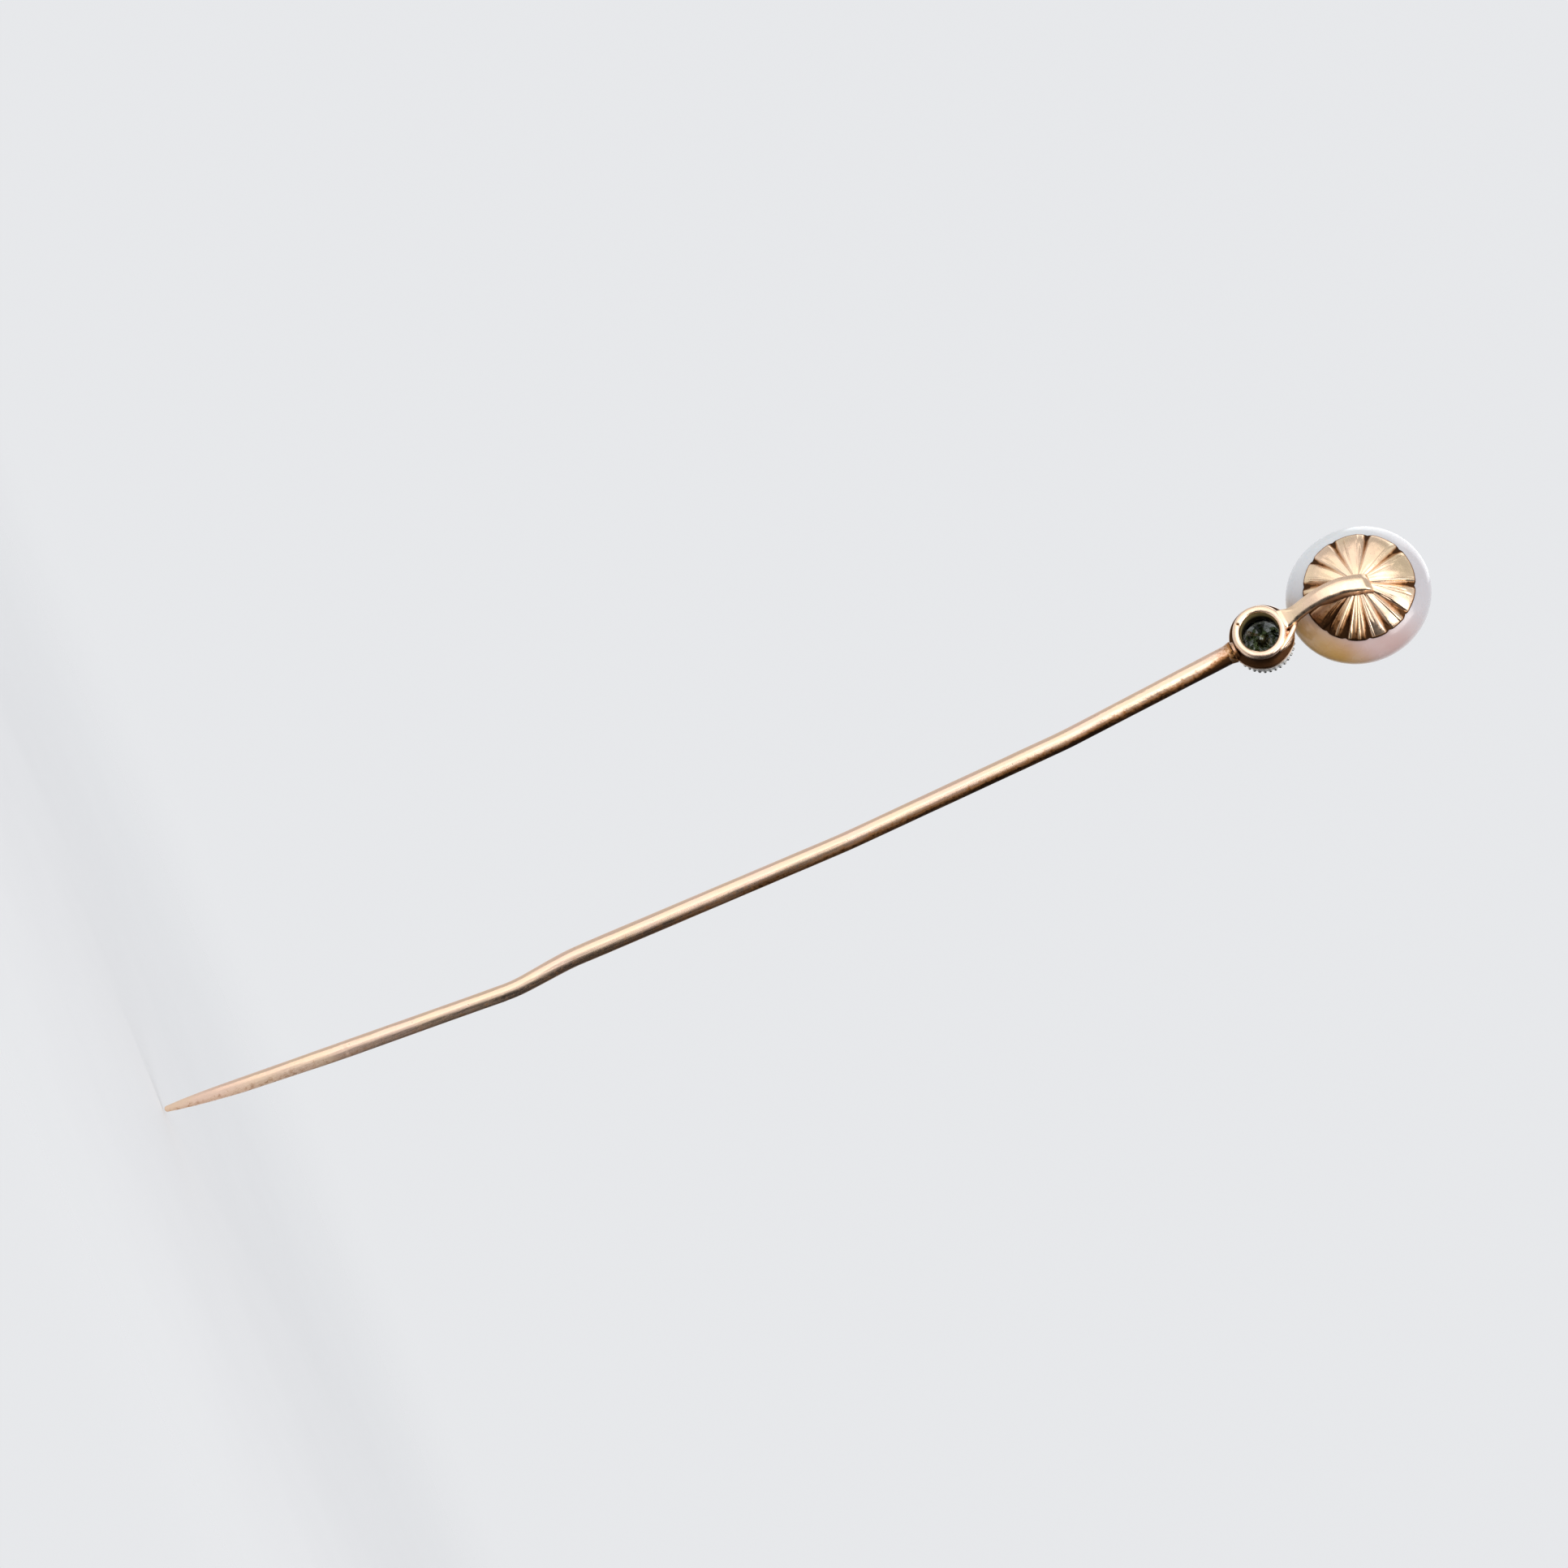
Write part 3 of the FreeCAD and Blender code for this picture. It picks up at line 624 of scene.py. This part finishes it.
def make_diamond(crown, pavilion):
    """An old-cut brilliant: table, kites, girdle and long pavilion facets down to an open culet."""
    corners = []
    for step in range(8):
        corners += [(TABLE_SIZE, step, TABLE_FACE), (KITE_SIZE, step + 0.5, KITE_FACE),
                    (CULET_SIZE, step, CULET_HEIGHT), (PAVILION_SIZE, step + 0.5, PAVILION_HEIGHT)]
    for step in range(16):
        corners += [(GIRDLE_SIZE, step / 2, GIRDLE_FRONT), (GIRDLE_SIZE, step / 2, GIRDLE_BACK)]
    for step in range(16):
        corners += [(GIRDLE_SIZE - 0.01, step / 2 + 0.25, GIRDLE_FRONT + 0.005),
                    (GIRDLE_SIZE - 0.01, step / 2 + 0.25, GIRDLE_BACK - 0.005)]
    stone = bmesh.new()
    for size, step, height in corners:
        angle = math.radians(45 * step + STONE_TURN)
        point = ring_point(angle, size * STONE_SHRINK, height)
        stone.verts.new([c * MM for c in point])
    bmesh.ops.convex_hull(stone, input=stone.verts)
    bmesh.ops.dissolve_limit(stone, angle_limit=0.01, verts=stone.verts, edges=stone.edges)
    loose = [corner for corner in stone.verts if not corner.link_faces]
    bmesh.ops.delete(stone, geom=loose, context="VERTS")
    bmesh.ops.recalc_face_normals(stone, faces=stone.faces)
    for face in stone.faces:
        face.material_index = 1 if face.normal.y > 0.05 else 0
    mesh = bpy.data.meshes.new("brilliant")
    stone.to_mesh(mesh)
    stone.free()
    mesh.materials.append(crown)
    mesh.materials.append(pavilion)
    piece = bpy.data.objects.new("brilliant", mesh)
    bpy.context.scene.collection.objects.link(piece)
    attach(piece, "root")
    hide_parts("diamond")


# ---------------------------------------------------------------- pearl and cup

PEARL = np.array([0.924, -1.39, 45.48])
PEARL_TURN = -5.0
PEARL_WIDE, PEARL_TALL, PEARL_BACK, PEARL_FRONT = 3.08, 3.28, 2.05, 2.70
HOLE_RADIUS = 0.47
HOLE_DEPTH = 2.33
CUP = np.array([0.854, 45.63])
CUP_WIDE, CUP_TALL = 2.41, 2.52
CUP_WALL = 0.22
FILM = 0.02
FLUTES = (-66, -36, -7, 32, 69, 112, 145, 169, 192, 218, 239, 269)


def pearl_point(angle, polar, back=True):
    """A point on the pearl; polar is 0 at the pole and a quarter turn at the widest line."""
    deep = PEARL_BACK if back else -PEARL_FRONT
    across = PEARL_WIDE * math.sin(polar) * math.cos(angle)
    up = PEARL_TALL * math.sin(polar) * math.sin(angle)
    x, z = turned((across, up), PEARL_TURN)
    return np.array([PEARL[0] + x, PEARL[1] + deep * math.cos(polar), PEARL[2] + z])


def skin_height(x, z, grow):
    """The height of the pearl's back, grown by a thickness, above a place in the XZ plane."""
    across, up = turned((x - PEARL[0], z - PEARL[2]), -PEARL_TURN)
    inside = 1 - (across / (PEARL_WIDE + grow)) ** 2 - (up / (PEARL_TALL + grow)) ** 2
    return PEARL[1] + (PEARL_BACK + grow) * np.sqrt(np.clip(inside, 0.0, 1))


def make_pearl(material):
    """The button pearl with the hole drilled in its back."""
    angles = np.linspace(0, 2 * math.pi, 160, endpoint=False)
    start = math.asin(HOLE_RADIUS / PEARL_TALL)
    mouth = pearl_point(0, start)[1]
    middle = np.array([PEARL[0], 0, PEARL[2]])
    rows = []
    for height in (mouth - HOLE_DEPTH, mouth - HOLE_DEPTH * 0.5, mouth - 0.03):
        rows.append([middle + np.array([HOLE_RADIUS * math.cos(a), height, HOLE_RADIUS * math.sin(a)])
                     for a in angles])
    for polar in np.linspace(start * 1.04, math.pi / 2, 60):
        rows.append([uneven_pearl(a, polar, True) for a in angles])
    for polar in np.linspace(math.pi / 2, 0.01, 60)[1:]:
        rows.append([uneven_pearl(a, polar, False) for a in angles])
    bead = Builder()
    bead.rings(rows)
    bead.make("button_pearl", material, "pearl")


def uneven_pearl(angle, polar, back):
    """A point of the pearl's skin, which is very slightly uneven away from the cup."""
    point = pearl_point(angle, polar, back)
    away = math.sin(polar) ** 8 if back else 1.0
    wave = 0.5 + 0.5 * math.sin(2 * angle + 0.7) * math.cos(1.5 * polar)
    middle = np.array([PEARL[0], PEARL[1], PEARL[2]])
    return middle + (point - middle) * (1 - 0.006 * wave * away)


def groove(angle, flute, width):
    """How near an angle lies to a flute, 1 on it and 0 beyond its width in degrees."""
    off = abs(off_angle(math.degrees(angle), flute))
    return max(0.0, 1 - off / width)


# How far each petal tips to one side, and the raised ribs: angle, half width and weight.
PETAL_TILT = (0.5, -0.8, 0.9, -0.3, 0.7, -0.6, 0.2, -0.9, 0.6, 0.9, -0.7, -0.4)
RIBS = ((62, 2.4, 1.0), (106, 2.4, 0.9), (-171, 2.6, 1.0), (-147, 2.6, 1.0), (-157, 1.8, 0.7),
        (-133, 2.0, 0.6), (77, 1.8, 0.5), (20, 2.0, 0.6), (-58, 2.0, 0.6), (152, 2.0, 0.7), (-124, 1.6, 0.6))
CHASED = 34
# How deep each part of a petal's cut is; the ribs stand up instead.
FLUTE_DEPTH, VALLEY_DEPTH, CROWN_DEPTH, CHASE_DEPTH, RIB_HEIGHT = 0.120, 0.030, 0.024, 0.045, 0.055
SKIN_DEPTH = 0.045
# Where the cup is darkened beside and below the arm, partly real fouling and partly painted shade: the
# angle, its half width, how dark it is and how it fades towards the middle.
FOULED_AND_SHADED = ((240, 27, 0.92, 0.9), (200, 18, 0.65, 3), (-77, 9, 0.35, 3))


def petal_shape(degrees, share, lines):
    """How deep the cup's skin is cut at an angle and share of the radius, and how dark the cut is."""
    outward = share ** 1.4
    cut = max(groove(math.radians(degrees), flute, 5.2) for flute in FLUTES)
    valley = max(groove(math.radians(degrees), flute, 9.0) for flute in FLUTES) ** 1.6
    index = min(range(12), key=lambda number: (degrees - FLUTES[number]) % 360)
    span = (FLUTES[(index + 1) % 12] - FLUTES[index]) % 360
    across = ((degrees - FLUTES[index]) % 360) / span
    crown = (2 * across - 1) ** 2
    tilt = PETAL_TILT[index] * (across - 0.5) * 0.085
    chase = 0.0
    for line, width, weight, inner, outer in lines:
        off = abs(off_angle(degrees, line))
        if off < width and inner < share < outer:
            ends = min(1.0, (share - inner) * 9, (outer - share) * 9)
            chase = max(chase, weight * (1 - off / width) * ends)
    rib = 0.0
    for line, width, weight in RIBS:
        off = abs(off_angle(degrees, line))
        if off < width:
            rib = max(rib, weight * (1 - (off / width) ** 2))
    depth = FLUTE_DEPTH * cut + VALLEY_DEPTH * valley + CROWN_DEPTH * crown + CHASE_DEPTH * chase
    depth = depth - RIB_HEIGHT * rib + SKIN_DEPTH - tilt
    dark = max(1.15 * cut * outward, 0.75 * chase * outward)
    return depth * min(1.0, 1.35 * outward), dark * (1 - 0.7 * rib), rib


def chased_lines():
    """The fine engraved lines that run beside the flutes: angle, half width, weight, start and end."""
    draw = np.random.default_rng(71)
    lines = []
    for number in range(CHASED):
        flute = FLUTES[number % 12]
        offset = draw.uniform(4.5, 13.5) * (1 if number % 3 else -1)
        lines.append((flute + offset, draw.uniform(1.3, 2.2), draw.uniform(0.4, 1.0),
                      draw.uniform(0.12, 0.45), draw.uniform(0.72, 1.02)))
    return lines


def make_cup(material):
    """The fluted cup, a shell of twelve uneven petals chased and notched round the pearl's back."""
    count, rings = 900, 90
    outer, inner, marks = [], [], []
    lines = chased_lines()
    angles = np.linspace(0, 2 * math.pi, count, endpoint=False)
    for share in np.linspace(0.02, 1.0, rings):
        row, under, mark = [], [], []
        for angle in angles:
            rim = 1 / math.sqrt((math.cos(angle) / CUP_WIDE) ** 2 + (math.sin(angle) / CUP_TALL) ** 2)
            wander = 0.8 * math.sin(4 * share + 5 * angle)
            depth, dark, rib = petal_shape(math.degrees(angle) + wander, share, lines)
            notch = max(groove(angle, flute, 4.6) for flute in FLUTES)
            edge = 0.022 * notch ** 1.5 + 0.005 * (1 + math.sin(13 * angle + 2)) * 0.5
            size = rim * share * (1 - edge * share ** 6)
            x = CUP[0] + size * math.cos(angle)
            z = CUP[1] + size * math.sin(angle)
            droop = 0.10 * max(0.0, (share - 0.80) / 0.20) ** 2.2
            hammered = 0.005 * (1 + math.sin(9 * angle + 9 * share))
            hammered += 0.0025 * (1 + math.sin(31 * angle - 12 * share))
            mouth = notch * min(1.0, max(0.0, (share - 0.84) / 0.10))
            thick = CUP_WALL - min(0.195, max(0.0, depth) + droop + hammered + 0.05 * mouth)
            row.append((x, float(skin_height(x, z, FILM + thick)), z))
            under.append((x, float(skin_height(x, z, FILM)), z))
            # The dark line at the very rim and the darkening where the rim droops are a painted contact
            # shadow against the pearl.
            rim_contact_shadow = 0.8 * max(0.0, (share - 0.975) / 0.025)
            foul_and_shade = sum(weight * bump_at(off_angle(math.degrees(angle), middle), width) * share ** fade
                       for middle, width, weight, fade in FOULED_AND_SHADED)
            mark.append(min(1.0, dark + foul_and_shade * (1 - 0.85 * rib) + rim_contact_shadow + 0.50 * mouth + droop))
        outer.append(row)
        inner.append(under)
        marks.append(mark)
    shell = Builder()
    # The inner face against the pearl is marked 0.9: painted shade between cup and pearl.
    shell.rings(outer + inner[::-1], marks + [[0.9] * count] * rings)
    shell.make("fluted_cup", material, "cup")


# ---------------------------------------------------------------- arm and its solder

ARM_INNER, ARM_REACH = 1.10, 5.36
# Along the arm: the share of its reach, how much it bows sideways and how much it rises.
ARM_LINE = [(0.18, 0, 0), (0.30, 0.3, 0.25), (0.42, 0.65, 0.6), (0.54, 0.9, 0.87), (0.66, 1, 1),
            (0.78, 0.85, 1), (0.89, 0.45, 0.88), (1, 0, 0.64)]
ARM_ROOT_TOP = 0.98
ARM_CREST = 1.755
ARM_BOW = 0.30
ARM_THICK = 0.58
WALL_RADIUS = 1.225
END_DROP = 0.17
# The lip's shoulder: distance from the collet's axis and height.
LIP_TOP = 1.098
LIP_SHOULDER = ((1.08, LIP_TOP), (1.12, 1.085), (1.16, 1.06), (1.19, 1.02), (1.21, 0.98), (1.225, 0.88))


def arm_section(share, inset=0.0):
    """The middle x, half width, top height and underside height of the arm at a share of its reach."""
    shares, bows, rises = (np.array(column, float) for column in zip(*ARM_LINE))
    at = np.array([share])
    bow = ARM_BOW * float(smooth_line(at, shares, bows)[0])
    top = ARM_ROOT_TOP + float(smooth_line(at, shares, rises)[0]) * (ARM_CREST - ARM_ROOT_TOP)
    half = (0.60 + share * 0.27) / 2 - inset
    return COLLET[0] + bow, half, min(top, ARM_CREST) - inset * 0.8


def lip_height(size):
    """The height of the lip's rounded shoulder at a distance from the collet's axis."""
    return float(np.interp(size, *zip(*LIP_SHOULDER)))


def make_arm(material):
    """The curved square bar with a filed bevel, from the collet's lip to a squared end on the cup."""
    rows, marks = [], []
    plan = [(size, 0.0) for size in np.linspace(ARM_INNER, WALL_RADIUS - 0.004, 7)]
    plan += [(size, 0.0) for size in np.linspace(WALL_RADIUS, 0.982 * ARM_REACH, 120)]
    plan += [(0.989 * ARM_REACH, 0.006), (0.994 * ARM_REACH, 0.018), (0.9975 * ARM_REACH, 0.036),
             (0.9993 * ARM_REACH, 0.062)]
    for along, inset in plan:
        share = along / ARM_REACH
        middle, half, top = arm_section(max(share, WALL_RADIUS / ARM_REACH), inset)
        from_root = max(0.0, along - WALL_RADIUS)
        near = math.exp(-(from_root / 0.42) ** 2)
        top = max(top, LIP_TOP - 0.45 * from_root) if from_root < 0.6 else top
        top = min(top, 1.066 + 0.6 * (along - ARM_INNER)) if along < WALL_RADIUS else top
        top -= END_DROP * max(0.0, (share - 0.945) / 0.055) ** 2
        waver = 0.012 * float(ripple(np.array([share * 14]), 51)[0])
        left = -half + 0.09 * math.exp(-from_root / 0.9) + waver - 0.16 * near
        right = half + 0.11 * math.exp(-from_root / 0.5) + waver + 0.10 * near ** 3
        bottom = top - ARM_THICK
        bevel = (0.29 + 0.03 * math.sin(7 * share)) * (1 - 0.8 * near)
        drop = 0.55 * bevel
        corners = [(left, bottom), (right, bottom), (right - 0.015, top - drop), (right - bevel, top),
                   (left + 0.10, top - 0.005), (left, top - 0.10)]
        row, mark = [], []
        for across, height in round_corners(corners, 0.07, 6):
            x = middle + across
            offset = min(abs(x - COLLET[0]), 0.9)
            hug = 1 - math.sqrt(1 - (offset / max(along, 1.0)) ** 2) if offset < along else 1.0
            z = COLLET[1] + along * (1 - hug * math.exp(-(from_root / 0.35) ** 2))
            if along < WALL_RADIUS:
                height = max(height, min(lip_height(along) - 0.006, top - 0.002))
            if height < top - 0.3:
                rest = float(skin_height(x, z, FILM + CUP_WALL)) - 0.004
                ease = np.clip((share - 0.52) / 0.16, 0, 1)
                height = height + (rest - height) * ease ** 2 * (3 - 2 * ease) if rest > 0.3 else height
                if share > 0.5:
                    height = max(height, rest)
            row.append((x, height, z))
            # The arm's sides darken towards its underside, strongly on the left and lightly elsewhere:
            # painted shade.
            low = np.clip((top - height) / 0.5, 0, 1)
            mark.append(max(0.9 * low if across < left + 0.03 else 0.35 * low, 0.0))
        rows.append(row)
        marks.append(mark)
    bar = Builder()
    bar.rings(rows, marks)
    bar.make("arm_bar", material, "arm")


def tube(piece, path, sizes, mark=0.0, around=20):
    """A rounded rod along a path of points, with a radius across and a radius in Y at each."""
    path = np.asarray(path, float)
    rows = []
    for index, middle in enumerate(path):
        run = path[min(index + 1, len(path) - 1)] - path[max(index - 1, 0)]
        across = np.cross(run, (0, 1, 0))
        across /= np.linalg.norm(across)
        wide, high = sizes[index]
        rows.append([middle + across * wide * math.cos(turn) + np.array([0, high * math.sin(turn), 0])
                     for turn in np.linspace(0, 2 * math.pi, around, endpoint=False)])
    piece.rings(rows, np.full((len(path), around), mark))


# The solder web on the collet's wall, by its angles round the collet.
WEB_START, WEB_END = 58, 157
# The strand's ends, each an angle, a distance from the axis and a height, and the way it bows.
STRAND_ENDS = ((97.5, 1.68, 0.84), (WEB_END, 1.25, 0.90))
STRAND_BOW = 125


def rising(value):
    """An easy step from 0 far below zero to 1 far above it."""
    return 1 / (1 + math.exp(-value))


def make_arm_solder(material):
    """Solder drawn out from the arm's root: a web on the collet's wall and a tapering strand outside it."""
    fillet = Builder()
    rows, marks = [], []
    for degrees in np.linspace(WEB_START, WEB_END, 96):
        angle = math.radians(degrees)
        under_arm = rising((degrees - 72) / 1.5) * rising((107 - degrees) / 1.5)
        fade = np.clip((WEB_END - degrees) / 45, 0, 1) ** 0.8
        fade = fade * np.clip((degrees - WEB_START) / 10, 0, 1) ** 0.7
        strand_side = rising((degrees - 100) / 2.0)
        bulge = (0.22 + 0.10 * strand_side - 0.11 * under_arm) * fade + 0.010
        top = (0.80 + 0.12 * strand_side - 0.50 * under_arm) * fade + 0.66 * (1 - fade)
        foot = 0.18 * fade + 0.52 * (1 - fade)
        section = []
        for share in np.linspace(0, 1, 16):
            section.append((1.20 + bulge * math.sin(share * math.pi) ** 0.45, foot + (top - foot) * share))
        for share in np.linspace(1, 0, 6)[1:-1]:
            section.append((1.188, foot + (top - foot) * share))
        rows.append([ring_point(angle, size, height) for size, height in section])
        # The web darkens below 0.8 towards the collet's hollow wall: painted shade.
        marks.append([float(np.clip((0.80 - height) / 0.25, 0, 1)) for _, height in section])
    fillet.rings(rows, marks)
    first, last = (np.array(ring_point(math.radians(degrees), *rest)) for degrees, *rest in STRAND_ENDS)
    bow = math.radians(STRAND_BOW)
    outward = np.array([math.cos(bow), 0, math.sin(bow)])
    path, sizes = [], []
    for share in np.linspace(0, 1, 48):
        bend = 0.05 * math.sin(share * math.pi)
        path.append(first + (last - first) * share + outward * bend)
        swell = (1 - share ** 4) * (0.5 + 0.5 * min(1, share * 8))
        sizes.append((0.022 + 0.098 * swell, 0.03 + 0.14 * swell))
    tube(fillet, path, sizes)
    fillet.make("arm_fillet", material, "arm_solder")


# ---------------------------------------------------------------- stage, light and camera

# The view of the picture: the camera's direction and roll in degrees, its distance in metres, and its aim.
AZIMUTH, ELEVATION, ROLL = 195.35, 1.95, 66.126
CAMERA_AWAY = 0.600
LENS, SENSOR_WIDTH = 311.0, 36
AIM_HEIGHT, AIM_RIGHT, AIM_UP = 18, -0.521, 3.231
FLOOR_LEVEL = -12.26
HEAD = Vector((0.6, 0.5, 44))
# Each lamp: its direction from the head as shares of the view's up, back and right, then its distance in
# metres, its size, its power and its colour.
LAMPS = {
    "key": ((0.66, 0.62, -0.20), 0.27, 0.33, 0.22, (1.0, 0.96, 0.91)),
    "front": ((0.24, 0.90, 0.24), 0.30, 0.26, 0.24, (1.0, 0.98, 0.95)),
    "fill": ((-0.35, 0.57, 0.74), 0.28, 0.18, 0.34, (1.0, 0.98, 0.96)),
    "rim": ((0.50, -0.75, 0.35), 0.27, 0.24, 0.21, (0.96, 0.98, 1.0)),
}
# The backdrop's brightness from the picture's lower side (0) through the line of sight (0.5) to the upper.
BACKDROP_LEVELS = ((0.22, 0.04), (0.46, 1.0), (0.60, 1.0), (0.78, 0.78), (1.0, 0.66))
BACKDROP_UP, BACKDROP_RIGHT = 0.95, 0.30
ROOM_LEVEL = 0.61


def view_axes():
    """The camera's right, up and backward directions, with the roll of the picture applied."""
    a, e = math.radians(AZIMUTH), math.radians(ELEVATION)
    back = Vector((math.sin(a) * math.cos(e), -math.cos(a) * math.cos(e), math.sin(e)))
    right = Vector((0, 0, 1)).cross(back).normalized()
    level_axes = Matrix((right, back.cross(right), back)).transposed()
    return level_axes @ Matrix.Rotation(math.radians(ROLL), 3, "Z")


def add_light(name, place, aim, size, power, colour):
    """A soft square light turned to face a point."""
    data = bpy.data.lights.new(name, "AREA")
    data.shape = "SQUARE"
    data.size = size
    data.energy = power
    data.color = colour
    lamp = bpy.data.objects.new(name, data)
    lamp.location = place
    lamp.rotation_euler = (place - aim).to_track_quat("Z", "Y").to_euler()
    bpy.context.scene.collection.objects.link(lamp)


def add_floor():
    """A wide pale table under the pin that fades into the backdrop far away."""
    mesh = bpy.data.meshes.new("table_top")
    disc = bmesh.new()
    bmesh.ops.create_circle(disc, cap_ends=True, radius=3.0, segments=96)
    disc.to_mesh(mesh)
    disc.free()
    nodes = Nodes("table_paint")
    nodes.feed("Roughness", nodes.steps(nodes.noise(60, detail=2), 0.2, 0.8, 0.9, 0.94))
    nodes.feed("Base Color", nodes.mix(nodes.noise(90), (0.75, 0.76, 0.78), (0.79, 0.80, 0.82)))
    nodes.set(Specular_IOR_Level=0.0)
    length = nodes.add("VectorMath")
    length.operation = "LENGTH"
    nodes.link(nodes.place, length.inputs[0])
    share = nodes.steps(length.outputs["Value"], 0.012, 0.085)
    clear = nodes.add("BsdfTransparent")
    blend = nodes.add("MixShader")
    nodes.link(share, blend.inputs["Fac"])
    nodes.link(nodes.shader.outputs["BSDF"], blend.inputs[1])
    nodes.link(clear.outputs["BSDF"], blend.inputs[2])
    nodes.link(blend.outputs["Shader"], nodes.tree.nodes["Material Output"].inputs["Surface"])
    mesh.materials.append(nodes.material)
    table = bpy.data.objects.new("table_top", mesh)
    table.location = (0, 0, FLOOR_LEVEL * MM)
    bpy.context.scene.collection.objects.link(table)


def add_world():
    """A pale backdrop seen by the camera, in reflections and through the stone, with an even soft light."""
    world = bpy.data.worlds.new("studio")
    world.use_nodes = True
    bpy.context.scene.world = world
    tree = world.node_tree
    add, join = tree.nodes.new, tree.links.new
    background = tree.nodes["Background"]
    background.inputs["Color"].default_value = (0.80, 0.81, 0.83, 1)
    coords = add("ShaderNodeTexCoord")
    facing = add("ShaderNodeVectorMath")
    facing.operation = "DOT_PRODUCT"
    axes = view_axes()
    facing.inputs[1].default_value = BACKDROP_UP * axes.col[1] + BACKDROP_RIGHT * axes.col[0]
    join(coords.outputs["Generated"], facing.inputs[0])
    centred = add("ShaderNodeMath")
    centred.operation = "MULTIPLY_ADD"
    centred.inputs[1].default_value = 0.5
    centred.inputs[2].default_value = 0.5
    join(facing.outputs["Value"], centred.inputs[0])
    seen = add("ShaderNodeValToRGB")
    seen.color_ramp.interpolation = "EASE"
    stops = seen.color_ramp.elements
    stops[0].position, stops[1].position = BACKDROP_LEVELS[0][0], BACKDROP_LEVELS[-1][0]
    for share, _ in BACKDROP_LEVELS[1:-1]:
        stops.new(share)
    for stop, (_, amount) in zip(stops, BACKDROP_LEVELS):
        stop.color = (amount, amount, amount, 1)
    join(centred.outputs["Value"], seen.inputs["Fac"])
    path = add("ShaderNodeLightPath")
    mirrored = add("ShaderNodeMath")
    mirrored.operation = "MAXIMUM"
    join(path.outputs["Is Glossy Ray"], mirrored.inputs[0])
    join(path.outputs["Is Transmission Ray"], mirrored.inputs[1])
    shown = add("ShaderNodeMix")
    shown.inputs["A"].default_value = ROOM_LEVEL
    join(mirrored.outputs["Value"], shown.inputs["Factor"])
    join(seen.outputs["Color"], shown.inputs["B"])
    level = add("ShaderNodeMix")
    level.inputs["B"].default_value = 1.0
    join(path.outputs["Is Camera Ray"], level.inputs["Factor"])
    join(shown.outputs["Result"], level.inputs["A"])
    join(level.outputs["Result"], background.inputs["Strength"])


def add_camera():
    """The camera at the picture's angle, and the lamps set round it."""
    axes = view_axes()
    right, up, back = axes.col
    aim = (Vector((0, 0, AIM_HEIGHT)) + AIM_RIGHT * right + AIM_UP * up) * MM
    data = bpy.data.cameras.new("viewer")
    data.lens = LENS
    data.sensor_width = SENSOR_WIDTH
    data.clip_start = 0.01
    data.clip_end = 20
    camera = bpy.data.objects.new("viewer", data)
    camera.location = aim + back * CAMERA_AWAY
    camera.rotation_euler = axes.to_euler()
    bpy.context.scene.collection.objects.link(camera)
    bpy.context.scene.camera = camera
    for name, ((high, behind, aside), away, size, power, colour) in LAMPS.items():
        place = HEAD * MM + (high * up + behind * back + aside * right) * away
        add_light(name, place, aim, size, power, colour)


def main():
    wire = gold("wire_gold", (GOLD_ROSE, GOLD_PINK), streak=(9000, 9000, 260), rough=0.17, mark_noise=1.3,
                pits=0.5)
    sheet = gold("sheet_gold", (GOLD_ROSE, GOLD_YELLOW), rough=0.26)
    ring = gold("ring_gold", (GOLD_PINK, GOLD_ROSE), rough=0.25)
    joint = solder_alloy()
    make_stem(wire)
    make_stem_solder(joint)
    make_collet(ring)
    make_bezel(white_metal())
    # The pavilion's near-black colours are painted shade in the bore, and its clearer patches painted
    # glints.
    make_diamond(diamond_glass("diamond_clean", (0.97, 0.98, 1.0), (0.88, 0.90, 0.88)),
                 diamond_glass("diamond_pavilion_shade", (0.10, 0.11, 0.105), (0.006, 0.010, 0.002)))
    make_arm(sheet)
    make_arm_solder(joint)
    make_cup(sheet)
    make_pearl(nacre())
    for node, material in (("pearl_peg", wire), ("peg_cement", cement())):
        kept = bpy.data.objects[node]
        kept.data.materials.clear()
        kept.data.materials.append(material)
    bpy.context.scene.view_settings.view_transform = "Standard"
    add_floor()
    add_world()
    add_camera()


main()
